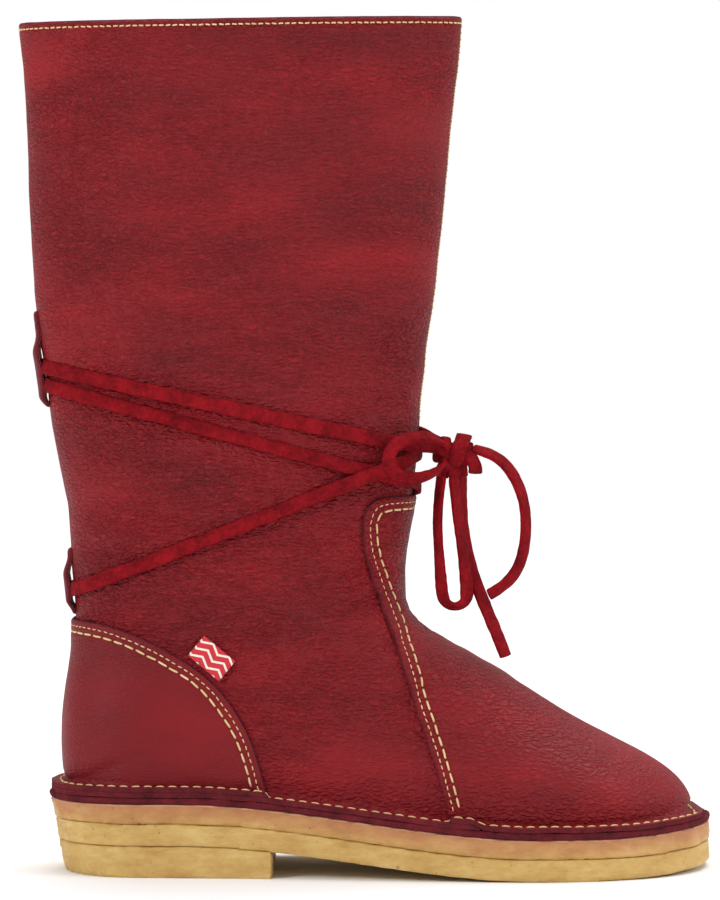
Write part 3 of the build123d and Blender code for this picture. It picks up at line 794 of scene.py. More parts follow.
# %% Pebbled cowhide
def cowhide(name, light, mid, dark, pebble_mm, depth_mm, smooth_share, gloss=0.22):
    """Dyed, tumbled cowhide. smooth_share is how much of it has lost its pebbles."""
    m = new_material(name)
    place = add(m, "TexCoord").outputs["Object"]
    place = add(m, "Mapping", {"Vector": place, "Rotation": (0, -0.16, 0), "Scale": (0.62, 0.8, 1.4)}).outputs[0]
    wander = add(m, "TexNoise", {"Vector": place, "Scale": 1 / 0.009, "Detail": 3.0}).outputs["Color"]
    shift = add(m, "VectorMath", {0: wander, 1: (0.5, 0.5, 0.5)}, operation="SUBTRACT").outputs[0]
    shift = add(m, "VectorMath", {0: shift, "Scale": 0.0048}, operation="SCALE").outputs[0]
    warped = add(m, "VectorMath", {0: place, 1: shift}, operation="ADD").outputs[0]
    coarse = add(m, "TexVoronoi", {"Vector": warped, "Scale": 1000 / pebble_mm, "Randomness": 0.95},
                 feature="DISTANCE_TO_EDGE").outputs["Distance"]
    fine = add(m, "TexVoronoi", {"Vector": warped, "Scale": 2100 / pebble_mm},
               feature="DISTANCE_TO_EDGE").outputs["Distance"]
    pebble = add(m, "MapRange", {"Value": coarse, "From Max": 0.34}, interpolation_type="SMOOTHSTEP").outputs[0]
    crumb = add(m, "MapRange", {"Value": fine, "From Max": 0.3}, interpolation_type="SMOOTHSTEP").outputs[0]
    region = add(m, "TexNoise", {"Vector": place, "Scale": 1 / 0.05, "Detail": 1.0}).outputs["Fac"]
    strength = add(m, "MapRange", {"Value": region, "From Min": smooth_share, "From Max": smooth_share + 0.3,
                                   "To Min": 0.28, "To Max": 1.0}).outputs[0]
    tiny = add(m, "TexNoise", {"Vector": place, "Scale": 1 / 0.0007, "Detail": 2.0}).outputs["Fac"]
    height = add(m, "Math", {0: crumb, 1: 0.3, 2: pebble}, operation="MULTIPLY_ADD").outputs[0]
    height = add(m, "Math", {0: height, 1: strength}, operation="MULTIPLY").outputs[0]
    height = add(m, "Math", {0: tiny, 1: 0.09, 2: height}, operation="MULTIPLY_ADD").outputs[0]
    bump = add(m, "Bump", {"Height": height, "Strength": 1.0, "Distance": depth_mm * MM}).outputs[0]
    tone = add(m, "TexNoise", {"Vector": place, "Scale": 1 / 0.03, "Detail": 4.0}).outputs["Fac"]
    body = add(m, "ValToRGB", {"Fac": tone}, [(0.2, dark), (0.5, mid), (0.8, light)]).outputs["Color"]
    # Painted shade: the lines between the pebbles are coloured dark, as if shade fell in them.
    groove_shade = add(m, "MapRange", {"Value": height, "From Max": 0.5, "To Min": 0.45, "To Max": 0.0}).outputs[0]
    groove_shade = add(m, "Math", {0: groove_shade, 1: strength}, operation="MULTIPLY").outputs[0]
    color = add(m, "Mix", {"Factor": groove_shade, 6: body, 7: linear("#4a060e")}, data_type="RGBA").outputs[2]
    # Within 1.6 mm of the cut edge, where the edge rolls down, the grain is coloured darker and duller.
    inset = add(m, "Attribute", attribute_name="inset").outputs["Fac"]
    edge_darkening = add(m, "MapRange", {"Value": inset, "From Max": 1.6, "To Min": 0.75, "To Max": 0.0}).outputs[0]
    color = add(m, "Mix", {"Factor": edge_darkening, 6: color, 7: linear("#6a1a24")}, data_type="RGBA").outputs[2]
    rough = add(m, "MapRange", {"Value": tone, "To Min": 0.46, "To Max": 0.58}).outputs[0]
    return finish_material(m, Base_Color=color, Roughness=rough, Normal=bump, Specular_IOR_Level=gloss)


# Pebbled cowhide for shaft and vamp: a broken, satin highlight, and painted shade in the lines between 2.6 mm
# pebbles.
red_hide = cowhide("red_pebbled_cowhide", "#92121b", "#800e17", "#6d0b13", 2.6, 1.0, 0.30)
# Cowhide pressed smooth over the heel stiffener: calmer, with only a trace of its pebbles.
smooth_hide = cowhide("red_smoothed_cowhide", "#86121a", "#760e16", "#660b12", 2.0, 0.35, 0.50)
# Darker, thinner hide for the two keepers, worn dull by the thong.
keeper_hide = cowhide("keeper_cowhide", "#6a1620", "#591019", "#470c14", 1.8, 0.3, 0.4, gloss=0.12)
print("cowhides:", [m.name for m in bpy.data.materials])


# %% [markdown]
# ### Edges, flesh side and suede
# Where the hide is cut you see its fibres, soaked with a darker dye. Their colour is darkened further as painted
# shade, for the shadow along each raised edge. The flesh side is a short velvety nap: no highlight, a soft sheen,
# and a direction that wanders. The thong shows that side too, with loose fibres.

# %% Edges, flesh side and suede
def napped(name, light, dark, fibre_mm, depth_mm, sheen):
    """Suede, flesh side or cut edge: fibres and no shine."""
    m = new_material(name)
    place = add(m, "TexCoord").outputs["Object"]
    fibre = add(m, "TexNoise", {"Vector": place, "Scale": 1000 / fibre_mm, "Detail": 5.0,
                                "Roughness": 0.75}).outputs["Fac"]
    cloud = add(m, "TexNoise", {"Vector": place, "Scale": 1 / 0.007, "Detail": 3.0}).outputs["Fac"]
    blend = add(m, "Math", {0: fibre, 1: 0.6, 2: 0.0}, operation="MULTIPLY_ADD").outputs[0]
    blend = add(m, "Math", {0: cloud, 1: 0.45, 2: blend}, operation="MULTIPLY_ADD").outputs[0]
    color = add(m, "ValToRGB", {"Fac": blend}, [(0.36, dark), (0.66, light)]).outputs["Color"]
    bump = add(m, "Bump", {"Height": fibre, "Strength": 0.9, "Distance": depth_mm * MM}).outputs[0]
    return finish_material(m, Base_Color=color, Roughness=0.9, Normal=bump, Sheen_Weight=sheen, Sheen_Roughness=0.5,
                           Specular_IOR_Level=0.08)


# The cut edge of the hide: dark and dull. The dark is partly the dye that bare fibres drink, more than the grain
# does, and partly painted shade for the shadow along each raised edge.
cut_edge_dye_and_shade = napped("dyed_and_shaded_cut_edge", "#74262d", "#38151a", 0.6, 0.4, 0.0)
# The flesh side, seen inside the shaft: paler, with a soft sheen at the rim.
flesh_side = napped("flesh_side", "#b86a5c", "#8e463e", 0.8, 0.2, 0.3)
# The thong's two sides, both fuzzy. Real fibres are 0.1 mm wide. They are drawn as 1.6 mm tufts, so that they show.
thong_suede = napped("thong_suede", "#9c0b15", "#4e0308", 1.6, 0.7, 0.0)
thong_grain = napped("thong_grain", "#92141d", "#540910", 1.7, 0.5, 0.0)
# Vegetable-tanned lining: undyed tan, smooth and dull, for the footbed and the inner pieces.
lining_leather = napped("lining_leather", "#c98f6c", "#a87150", 0.9, 0.12, 0.15)
print("napped leathers:", [m.name for m in bpy.data.materials][3:])


# %% [markdown]
# ### Natural crepe rubber
# Crepe is raw latex pressed in crinkled sheets and glued up in layers. It is honey-coloured, a little
# translucent, tacky, and it shows the layers as faint lines, darker specks and small pits in its cut side.

# %% Crepe rubber
FIBRE_LINE = 3.1  # mm below the top of the leather midsole, where the crepe starts


def crepe(name, light, mid, dark, stain):
    """Crepe, cut with a wet knife. stain is the dye that has run down from the leather above."""
    m = new_material(name)
    place = add(m, "TexCoord").outputs["Object"]
    stretched = add(m, "Mapping", {"Vector": place, "Scale": (1.0, 1.0, 2.4)}).outputs[0]
    cloud = add(m, "TexNoise", {"Vector": stretched, "Scale": 1 / 0.016, "Detail": 6.0,
                                "Roughness": 0.7}).outputs["Fac"]
    color = add(m, "ValToRGB", {"Fac": cloud}, [(0.28, dark), (0.5, mid), (0.7, light)]).outputs["Color"]
    depth = add(m, "Attribute", attribute_name="depth").outputs["Fac"]
    run = add(m, "TexNoise", {"Vector": place, "Scale": 1 / 0.007, "Detail": 4.0}).outputs["Fac"]
    reach = add(m, "Math", {0: run, 1: -7.0, 2: depth}, operation="MULTIPLY_ADD").outputs[0]
    stained = add(m, "MapRange", {"Value": reach, "From Min": -3.0, "From Max": 6.5, "To Min": 0.85,
                                  "To Max": 0.0}).outputs[0]
    color = add(m, "Mix", {"Factor": stained, 6: color, 7: linear(stain)}, data_type="RGBA").outputs[2]
    hem = add(m, "MapRange", {"Value": depth, "From Min": FIBRE_LINE, "From Max": FIBRE_LINE + 0.7, "To Min": 0.8,
                              "To Max": 0.0}).outputs[0]
    color = add(m, "Mix", {"Factor": hem, 6: color, 7: linear("#d9ab88")}, data_type="RGBA").outputs[2]
    dots = add(m, "TexVoronoi", {"Vector": place, "Scale": 1 / 0.0032, "Randomness": 1.0}).outputs["Distance"]
    size = add(m, "TexNoise", {"Vector": place, "Scale": 1 / 0.008}).outputs["Fac"]
    grow = add(m, "MapRange", {"Value": size, "From Min": 0.46, "From Max": 0.8, "To Max": 0.3}).outputs[0]
    speck = add(m, "Math", {0: dots, 1: grow}, operation="LESS_THAN").outputs[0]
    speck = add(m, "Math", {0: speck, 1: 0.55}, operation="MULTIPLY").outputs[0]
    color = add(m, "Mix", {"Factor": speck, 6: color, 7: linear("#8c4a24")}, data_type="RGBA").outputs[2]
    crinkle = add(m, "TexNoise", {"Vector": stretched, "Scale": 1 / 0.0018, "Detail": 6.0,
                                  "Roughness": 0.75}).outputs["Fac"]
    bump = add(m, "Bump", {"Height": crinkle, "Strength": 0.9, "Distance": 0.5 * MM}).outputs[0]
    return finish_material(m, Base_Color=color, Roughness=0.5, Normal=bump, Subsurface_Weight=0.15,
                           Subsurface_Radius=(0.004, 0.0025, 0.001), IOR=1.52)


# Pale latex crepe for the lower layer and the heel: honey-coloured, waxy, with darker specks.
crepe_light = crepe("natural_crepe_rubber", "#d8b873", "#c9a35a", "#b78a43", "#a8603a")
# The upper layer of crepe is pinker, because the red dye of the leather bleeds into it.
crepe_brown = crepe("aged_crepe_rubber", "#d2a868", "#c29452", "#aa793c", "#a9533c")
print("crepes:", crepe_light.name, "and", crepe_brown.name)

# %% [markdown]
# ### Thread, cork and steel
# The thread is linen drawn through wax, nearly white, with no shine. Cork and the steel shank lie inside the
# sole and are never seen, but they are in the model, so they get their real finish as well. Cork is made
# like crepe, in darker browns, and spring steel is a metal with fine lines along its length.

# %% Thread, cork and steel
thread = napped("waxed_linen_thread", "#e8cf9f", "#c49d66", 0.3, 0.08, 0.0)
cork = crepe("ground_cork", "#b98a5a", "#9c6f43", "#74502e", "#5e3f24")


def spring_steel():
    """Cold-rolled steel strip: grey, with soft streaked reflections from the rolling."""
    m = new_material("spring_steel")
    place = add(m, "TexCoord").outputs["Object"]
    brushed = add(m, "Mapping", {"Vector": place, "Scale": (60.0, 1800.0, 1800.0)}).outputs[0]
    lines = add(m, "TexNoise", {"Vector": brushed, "Scale": 1.0, "Detail": 3.0}).outputs["Fac"]
    rough = add(m, "MapRange", {"Value": lines, "To Min": 0.25, "To Max": 0.42}).outputs[0]
    return finish_material(m, Base_Color=linear("#8f9499"), Metallic=1.0, Roughness=rough)


steel = spring_steel()
print("all finishes:", len(bpy.data.materials))

# %% [markdown]
# ## The leather panels
# Two shaft halves meet in front and behind. The vamp covers their lower front, and the heel cover their lower
# back. Each is cut from the form at its own height: the shaft leather just inside it, the other two on top.
# The lower edge of all of them turns out onto the sole, where one row of stitches holds them.

# %% How high each panel lies on the form
LAP_GAP = 0.12  # between two leathers that lie on each other
FINE_ROW, BOLD_ROW = 2.6, 5.2  # how far each row of stitches lies inside the cut edge
leather_slots = [red_hide, cut_edge_dye_and_shade, flesh_side]
smooth_slots = [smooth_hide, cut_edge_dye_and_shade, flesh_side]
INSIDE = np.full((ROWS, WIDE), -LEATHER)
FULL = ((0, ROWS), (0, WIDE))
ON_TOP = np.full((ROWS, WIDE), LAP_GAP)
vamp_base, skived = {}, {}
for side in (-1, 1):
    grid = form[side]
    spread = np.clip((np.arange(WIDE) - COLUMNS + 1) / FOOT_ARC, 0, 1)[None, :]
    drop = ease((grid[:, :, 0] - 42.5) / 6.5) * spread
    vamp_base[side] = ON_TOP - (LEATHER + 0.05) * drop
    skived[side] = LEATHER * (1 - 0.97 * drop)
print("shaft leather thins from", LEATHER, "to", round(float(skived[-1].min()), 2), "mm where the vamp steps down")

# %% Shaft, vamp and heel cover
SEWN_ROWS = [(FINE_ROW, 0.10), (BOLD_ROW, 0.24)]  # how deep each row draws the leather in
leather = {}
for side, name in ((-1, "quarter_lateral"), (1, "quarter_medial")):
    leather[name] = leather_panel(name + "_leather", {side: (*FULL, insets["shaft"][side], INSIDE)},
                                  materials=leather_slots, thickness=skived[side], grooves=[(FINE_ROW, 0.15)])
leather["vamp"] = leather_panel("vamp_leather", {s: (*FULL, insets["vamp"][s], vamp_base[s]) for s in (-1, 1)},
                                join="front", materials=leather_slots, roll=0.5, grooves=SEWN_ROWS)
leather["heel_cover"] = leather_panel("heel_cover_leather", {s: (*FULL, insets["heel"][s], ON_TOP) for s in (-1, 1)},
                                      join="back", materials=smooth_slots, roll=0.5, grooves=SEWN_ROWS)
for name, piece in leather.items():
    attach(piece, "boot")
    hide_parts(name)

# %% [markdown]
# ### Inner pieces
# Thin leather strips back the two front edges and the back seam, and a stiff board holds the heel's shape.
# They are cut from the same form as the shaft, one leather thickness further in, so they follow its folds.

# %% Inner pieces: facings, back strip and heel stiffener
LINING = 1.2
SHAFT_ROWS = (2, first_foot_row)
UNDER = np.full((ROWS, WIDE), -LEATHER - 0.1 - LINING)
inner_slots = [flesh_side, cut_edge_dye_and_shade, lining_leather]
inner = {}
for side, name in ((-1, "facing_lateral"), (1, "facing_medial")):
    inner[name] = leather_panel(name + "_lining", {side: (SHAFT_ROWS, (0, 24), insets["facing"][side], UNDER)},
                                materials=inner_slots, thickness=LINING)
strip_halves = {s: (SHAFT_ROWS, (COLUMNS - 16, COLUMNS), insets["strip"][s], UNDER) for s in (-1, 1)}
inner["back_strip"] = leather_panel("back_strip_lining", strip_halves, "back", inner_slots, LINING)
board_halves = {s: ((0, ROWS), (0, COLUMNS), insets["stiffener"][s], UNDER) for s in (-1, 1)}
inner["heel_stiffener"] = leather_panel("heel_stiffener_board", board_halves, "back", inner_slots, LINING, step=2)
for name, piece in inner.items():
    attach(piece, "boot")
    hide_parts(name)

# %% [markdown]
# ## The sole
# Crepe is cut by hand with a wet knife, so its sides are never quite flat and its corners are soft. The CAD
# layers have the right places and sizes. A voxel remesh gives each an even skin, a little smoothing softens
# the corners, and noise along the normals roughens the cut sides.

# %% An even skin for a layer
def even_skin(node, voxel):
    """A copy of a CAD layer with an even skin of small quads and soft corners."""
    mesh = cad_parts[node].data.copy()
    mesh.materials.clear()
    piece = bpy.data.objects.new(node + "_layer", mesh)
    bpy.context.scene.collection.objects.link(piece)
    remesh = piece.modifiers.new("even", "REMESH")
    remesh.mode, remesh.voxel_size = "VOXEL", voxel * MM
    soften = piece.modifiers.new("soft", "SMOOTH")
    soften.factor, soften.iterations = 0.5, 1
    ready = bpy.data.meshes.new_from_object(piece.evaluated_get(bpy.context.evaluated_depsgraph_get()))
    piece.modifiers.clear()
    piece.data = ready
    return piece


print("outsole in CAD, points:", len(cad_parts["outsole"].data.vertices))

# %% Roughen the cut side
def cut_layer(node, material, voxel, wave, tear, seed):
    """A sole layer with soft corners and a rough cut side. wave and tear are how far, in mm, it wanders."""
    piece = even_skin(node, voxel)
    ready = piece.data
    count = len(ready.vertices)
    normals = np.zeros(count * 3, dtype=np.float32)
    ready.vertex_normals.foreach_get("vector", normals)
    places = np.zeros(count * 3, dtype=np.float32)
    ready.vertices.foreach_get("co", places)
    places, normals = places.reshape(-1, 3) / MM, normals.reshape(-1, 3)
    for i in range(count):
        if abs(normals[i, 2]) > 0.85:
            continue
        p = Vector(places[i])
        p.z *= 1.8
        push = wave * noise.noise(p / 11 + Vector((seed, 0, 0)))
        push += tear * noise.noise(p / 3.1 + Vector((0, seed, 0)))
        places[i] += normals[i] * (push - wave * 0.4) * np.array([1, 1, 0.4])
    ready.vertices.foreach_set("co", (places * MM).astype(np.float32).ravel())
    depth = np.interp(places[:, 0], WELT_XS, welt_heights) - places[:, 2]
    ready.attributes.new("depth", "FLOAT", "POINT").data.foreach_set("value", depth.astype(np.float32))
    ready.materials.append(material)
    ready.polygons.foreach_set("use_smooth", [True] * len(ready.polygons))
    ready.update()
    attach(piece, "boot")
    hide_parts(node)
    print(node, "skin:", count, "points")
    return piece


cut_layer("outsole", crepe_light, 1.1, 0.7, 0.6, 3)
cut_layer("heel_block", crepe_light, 1.1, 0.7, 0.6, 3)
cut_layer("crepe_midsole", crepe_brown, 1.1, 0.7, 0.5, 3)
cut_layer("leather_midsole", cut_edge_dye_and_shade, 0.9, 0.7, 0.5, 3)
cut_layer("footbed", lining_leather, 1.6, 0.0, 0.0, 2)

# %% [markdown]
# ### What stays as the CAD has it
# The shank, the cork filler, the insole board and the toe puff are hidden and already have the right shape, so
# they only get their finish. The free lace was made before there were finishes, and gets its two sides now.

# %% Hidden pieces keep their CAD shape
HIDDEN_FINISHES = {"shank": steel, "cork_filler": cork, "insole_board": lining_leather, "toe_puff": lining_leather}
for node, material in HIDDEN_FINISHES.items():
    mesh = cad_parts[node].data
    if not mesh.materials:
        mesh.materials.append(material)
    for k in range(len(mesh.materials)):
        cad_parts[node].material_slots[k].material = material
print("CAD pieces with a new finish:", list(HIDDEN_FINISHES))

# %% The free lace gets its two sides
for piece in free_laces.values():
    piece.data.materials.append(thong_grain)
    piece.data.materials.append(thong_suede)
    piece.data.polygons.foreach_set("material_index", list(piece["sides"]))
    del piece["sides"]
print("free lace finished:", len(free_laces))

# %% [markdown]
# ## The thong round the boot
# The thong passes through the lower keeper, rises on both sides, crosses over itself in front, runs back to
# the upper keeper, and comes forward again to the bow. It lies flat on the leather, so its line is read from
# the form where a slanted plane cuts it, and it is lifted where it passes over another strand or the vamp.

# %% A line where a slanted plane cuts the form
def girdle(side, back, front):
    """Points and normals where a slanted plane cuts one side of the form, from the front to the back."""
    (x0, z0), (x1, z1) = back, front
    slope = (z1 - z0) / (x1 - x0)
    found = []
    for c in range(COLUMNS):
        column = form[side][:first_foot_row, c]
        above = column[:, 2] - z0 - slope * (column[:, 0] - x0)
        r = int(np.argmax(above < 0))
        if r == 0:
            continue
        t = above[r - 1] / (above[r - 1] - above[r])
        normal = form_normals[side][r - 1, c] * (1 - t) + form_normals[side][r, c] * t
        found.append((column[r - 1] * (1 - t) + column[r] * t, normal))
    return found


def bump_up(x, start, end, ramp_length=9):
    """1 between start and end, easing to 0 outside."""
    return float(ease((x - start + ramp_length) / ramp_length) * ease((end + ramp_length - x) / ramp_length))


def laid(side, back, front, lift):
    """The middle line of a strand that lies on the leather. lift(point) is how far it is raised."""
    above_leather = 0.15 + LACE_THICKNESS / 2
    return [(p + n * (above_leather + lift(p)), n) for p, n in girdle(side, back, front)]


print("points in one side of a strand:", len(girdle(-1, *TIE_LINES[-1][0])))

# %% Six strands, three on each side
OVER = LACE_THICKNESS + 0.2  # over another strand
VAMP_LIFT = LEATHER + 0.1
falling, rising, tying = TIE_LINES[-1]
inner_falling, inner_rising, inner_tying = TIE_LINES[1]
strand_rising = laid(-1, *rising, lambda p: OVER * bump_up(p[0], -9.5, 12.5, 8))
strand_falling = laid(-1, *falling, lambda p: 0)
strand_tying = laid(-1, *tying, lambda p: OVER * bump_up(p[0], 14, 60, 8))
inner_strand_falling = laid(1, *inner_falling, lambda p: 0)
inner_strand_rising = laid(1, *inner_rising, lambda p: VAMP_LIFT * bump_up(p[0], -1, 60, 8))
inner_strand_tying = laid(1, *inner_tying, lambda p: 0)
print("height where the strands cross in front, mm:", round(float(strand_rising[0][0][2])))

# %% A flat strip laid along strands
def joined(*strands):
    """The points and normals of several strands, as one line."""
    points = np.array([p for strand in strands for p, n in strand])
    normals = np.array([n for strand in strands for p, n in strand])
    return points, normals


def thong(name, points, normals, closed=False, seed=5):
    """A flat strip along points, with its grain side out."""
    for _ in range(6):
        if closed:
            points = (np.roll(points, 1, axis=0) + 2 * points + np.roll(points, -1, axis=0)) / 4
        else:
            points[1:-1] = (points[:-2] + 2 * points[1:-1] + points[2:]) / 4
    if closed:
        points, normals = np.vstack([points, points[:1]]), np.vstack([normals, normals[:1]])
    lengths = np.concatenate([[0], np.cumsum(np.linalg.norm(np.diff(points, axis=0), axis=1))])

    def facing(point, share):
        """Outwards, but rocked up and down along the way, as the strip never lies quite flat."""
        out = Vector([np.interp(share * lengths[-1], lengths, normals[:, k]) for k in range(3)]).normalized()
        rock = 0.32 + 0.22 * math.sin(share * lengths[-1] / 31 + seed)
        return out + Vector((0, 0, rock))

    verts, faces, slots = ribbon_parts([Vector(p) for p in points], facing, step=1.6, seed=seed)
    piece = smoothed(mesh_object(name, verts, faces, [thong_grain, thong_suede], slots))
    print(name, "length, mm:", round(lengths[-1]))
    return piece


print("thong, mm:", LACE_WIDTH, "by", LACE_THICKNESS)

# %% Lay the thong round the ankle and tie it in front
loop_line = joined(strand_rising, inner_strand_rising[::-1], strand_falling, inner_strand_falling[::-1])
wraps = [thong("thong_round_ankle", *loop_line, closed=True)]

KNOT = np.array([36.4, -4.2, 172.0])
near_part = [(p, n) for p, n in strand_tying if p[0] < 13]
INTO_KNOT = [((31, -7.5, 174.5), (0.2, -1, 0.1)), ((26.5, -10.5, 176), (0.1, -1, 0.1)),
             ((20, -14.5, 176.6), (0.1, -1, 0.1))]
FROM_INSIDE = [((28.5, -0.5, 179), (0.9, 0.1, 0.5)), ((33, -2.5, 177), (0.8, 0, 0.8))]
into_knot, from_inside = ([(np.array(p), np.array(n)) for p, n in part] for part in (INTO_KNOT, FROM_INSIDE))
tying_line = joined(into_knot, near_part, inner_strand_tying[::-1], from_inside)
wraps.append(thong("thong_tied_in_front", *tying_line, seed=9))
for piece in wraps:
    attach(piece, "boot")
    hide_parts("lace_wraps")

# %% [markdown]
# ## The knot
# A bow's knot is one strand pulled tight round a pinched bundle. The bundle is a short fat strip, and the
# strand round it is the same flat thong, led round twice on a slant so that the turns cross.

# %% Turns round a bundle
def ring_line(center, reach, tilt, lean, start, turn, count=26):
    """A slanted turn round a bundle that runs along x."""
    found = []
    for k in range(count):
        a = math.radians(start + turn * k / (count - 1))
        across = Vector((lean * math.sin(a), -math.cos(a) * reach[0], math.sin(a) * reach[1]))
        found.append(Vector(center) + Matrix.Rotation(math.radians(tilt), 3, "Y") @ across)
    return found


def outward_from(center):
    return lambda point, share: (point - Vector(center)) * Vector((0.25, 1, 1))


core = [KNOT + (-8, 1, 1), KNOT + (-4, 0, 0.5), KNOT + (1, 0, 0), KNOT + (5, 0.5, -0.4), KNOT + (8, 0.5, 0)]
turn_one = ring_line(KNOT + (1.5, 0, 0), (6.0, 7.6), 8, 2.0, -40, 330)
turn_two = ring_line(KNOT + (-1.8, -0.4, 0.6), (5.2, 6.6), -34, -2.5, 150, 300)
knot_parts = [  # name, line, the way its grain looks, width, thickness
    ("bundle", [Vector(p) for p in core], lambda point, share: (0, -1, 0.2), 9.0, 7.0),
    ("turn_one", turn_one, outward_from(KNOT), 6.2, 2.2),
    ("turn_two", turn_two, outward_from(KNOT), 6.0, 2.2),
]
print("first turn of the knot, mm:", round(line_length(turn_one)))

# %% Stubs that lead from the knot into the free lace
STUBS = {
    "stub_near_top": [(35, -7.5, 176), (33.5, -10, 176.6), (31.6, -12, 176.6)],
    "stub_near_low": [(35, -7.5, 169), (33.8, -10, 168), (31.6, -12, 167.4)],
    "stub_hanging_back": [(33, -6.5, 168.5), (32, -7.2, 165), (31.4, -7.4, 162)],
    "stub_hanging_front": [(37, -6.5, 168.5), (36.8, -7.2, 165), (36.7, -7.4, 162)],
    "stub_long": [(40, -4.5, 173), (42.5, -4.2, 174), (45, -4.1, 174)],
    "stub_short": [(39.5, -2.5, 168), (40, -1.5, 165), (40.1, -1.1, 162)],
    "pinched_tail": [(41, -6.5, 172.5), (44, -7.6, 170), (45.6, -7.8, 166.5), (45.4, -7.6, 163.6)],
}
for name, points in STUBS.items():
    knot_parts.append((name, [Vector(p) for p in points], lambda point, share: (0.5, -1, 0.3), 5.8, 2.3))
for seed, (name, line, facing, width, thick) in enumerate(knot_parts):
    verts, faces, slots = ribbon_parts(line, facing, width, thick, step=1.1, rough=0.2, seed=seed + 20)
    piece = smoothed(mesh_object("knot_" + name, verts, faces, [thong_grain, thong_suede], slots))
    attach(piece, "boot")
    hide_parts("lace_knot")
print("knot pieces:", len(knot_parts))

# %% [markdown]
# ## Keepers
# Two short straps on the back seam hold the thong at its height. A keeper is sewn down at both ends and stands
# off in the middle, where the thong runs through.

# %% The back of the leather
seam_heights = form[-1][:first_foot_row, COLUMNS - 1][::-1]


def back_at(z, y=0.0):
    """x of the back of the leather at a height, and away from the seam."""
    middle = float(np.interp(z, seam_heights[:, 2], seam_heights[:, 0]))
    row = int(np.argmin(np.abs(form[-1][:first_foot_row, COLUMNS - 1, 2] - z)))
    edge = float(np.interp(8, np.abs(form[-1][row, ::-1, 1])[:40], form[-1][row, ::-1, 0][:40]))
    return middle + (edge - middle) * (y / 8) ** 2


print("back of the leather at the two keepers, x in mm:", round(back_at(116), 1), round(back_at(204), 1))

# %% The two skins of a keeper
KEEPER_THICKNESS = 1.8
STRAP_ROWS = 40
ACROSS = [-8, -7.6, -6.8, -5, -2.5, 0, 2.5, 5, 6.8, 7.6, 8]  # closer together at the two cut edges


def keeper_points(low, channel_low, channel_high, high):
    """Rows of points from the low end to the high end, the inner skin first. It stands off in the channel."""
    verts = []
    for z in np.linspace(low, high, STRAP_ROWS):
        gate = ease((z - channel_low + 4.5) / 5) * ease((channel_high + 8 - z) / 9)
        end = min(z - low, high - z)
        narrow = 1 - 0.06 * math.exp(-end / 2.0)
        for layer in (0, 1):
            for y in ACROSS:
                rim = math.exp(-(8 - abs(y)) / 0.5) + math.exp(-end / 0.5)
                out = 0.15 + 2.45 * gate * (1 - 0.12 * (y / 8) ** 2)
                out += layer * KEEPER_THICKNESS * (1 - 0.4 * min(1, rim))
                out += 0.12 * noise.noise(Vector((z / 5, y / 5, 3)))
                verts.append((back_at(z, y) - out, y * narrow, z))
    return verts


print("points in a keeper's cage:", 2 * len(ACROSS) * STRAP_ROWS)

# %% Close the skins into a strap
def keeper(name, node, *heights):
    """A strap with its flesh side inside, its grain outside and a cut edge all round."""
    verts, faces, slots = keeper_points(*heights), [], []
    wide = len(ACROSS)
    ring = 2 * wide
    for i in range(STRAP_ROWS - 1):
        for k in range(wide - 1):
            a = i * ring + k
            b = a + wide
            faces += [(a, a + 1, a + 1 + ring, a + ring), (b, b + ring, b + 1 + ring, b + 1)]
            slots += [2, 0]
        for k in (0, wide - 1):
            a = i * ring + k
            side_face = (a, a + ring, a + ring + wide, a + wide)
            faces.append(side_face if k == 0 else (side_face[0], *side_face[:0:-1]))
            slots.append(1)
    for i in (0, STRAP_ROWS - 1):
        for k in range(wide - 1):
            a = i * ring + k
            end_face = (a, a + wide, a + wide + 1, a + 1)
            faces.append(end_face if i == 0 else (end_face[0], *end_face[:0:-1]))
            slots.append(1)
    piece = smoothed(mesh_object(name, verts, faces, [keeper_hide, cut_edge_dye_and_shade, flesh_side], slots))
    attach(piece, "boot")
    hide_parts(node)
    return piece


keepers = [
    keeper("keeper_lower_strap", "keeper_lower", 105.8, 110.9, 122.1, 132.8),
    keeper("keeper_upper_strap", "keeper_upper", 191.2, 194.9, 213.6, 230.8),
]
print("keepers:", [k.name for k in keepers])

# %% [markdown]
# ## Stitches
# Thick waxed thread shows as a row of short plump bars, each sunk at its two ends. A texture of dashes would
# look painted on, so every stitch is a small body of its own. The rows follow contour lines of each panel's
# distance from its edge, traced on the grid.

# %% Contour lines on the form
def contour(side, values, level):
    """Polylines of (point, normal) where a grid of values passes a level, down to the turn of the foot."""
    joins, places = {}, {}

    def crossing(a, b):
        key = (a, b) if a < b else (b, a)
        if key not in places:
            (p, q), (s, t) = key[0], key[1]
            share = (level - values[p, q]) / (values[s, t] - values[p, q])
            spot = form[side][p, q] + (form[side][s, t] - form[side][p, q]) * share
            normal = form_normals[side][p, q] + (form_normals[side][s, t] - form_normals[side][p, q]) * share
            places[key] = (spot, normal)
        return key

    for r in range(ROWS - 1):
        for c in range(COLUMNS + 1):
            if c + 1 >= COLUMNS and r < first_foot_row:
                continue
            corners = [(r, c), (r, c + 1), (r + 1, c + 1), (r + 1, c)]
            cuts = []
            for a, b in zip(corners, corners[1:] + corners[:1]):
                if (values[a] >= level) != (values[b] >= level):
                    cuts.append(crossing(a, b))
            if len(cuts) == 2:
                joins.setdefault(cuts[0], []).append(cuts[1])
                joins.setdefault(cuts[1], []).append(cuts[0])
    lines = []
    left = set(joins)
    for start in sorted(left, key=lambda k: (len(joins[k]), k)):
        if start not in left:
            continue
        chain, here = [start], start
        left.discard(start)
        while True:
            following = [k for k in joins[here] if k in left]
            if not following:
                break
            here = following[0]
            left.discard(here)
            chain.append(here)
        if len(chain) > 8:
            lines.append([places[k] for k in chain])
    return lines


print("lines 5.2 mm inside the vamp's edge:", len(contour(-1, insets["vamp"][-1], BOLD_ROW)))

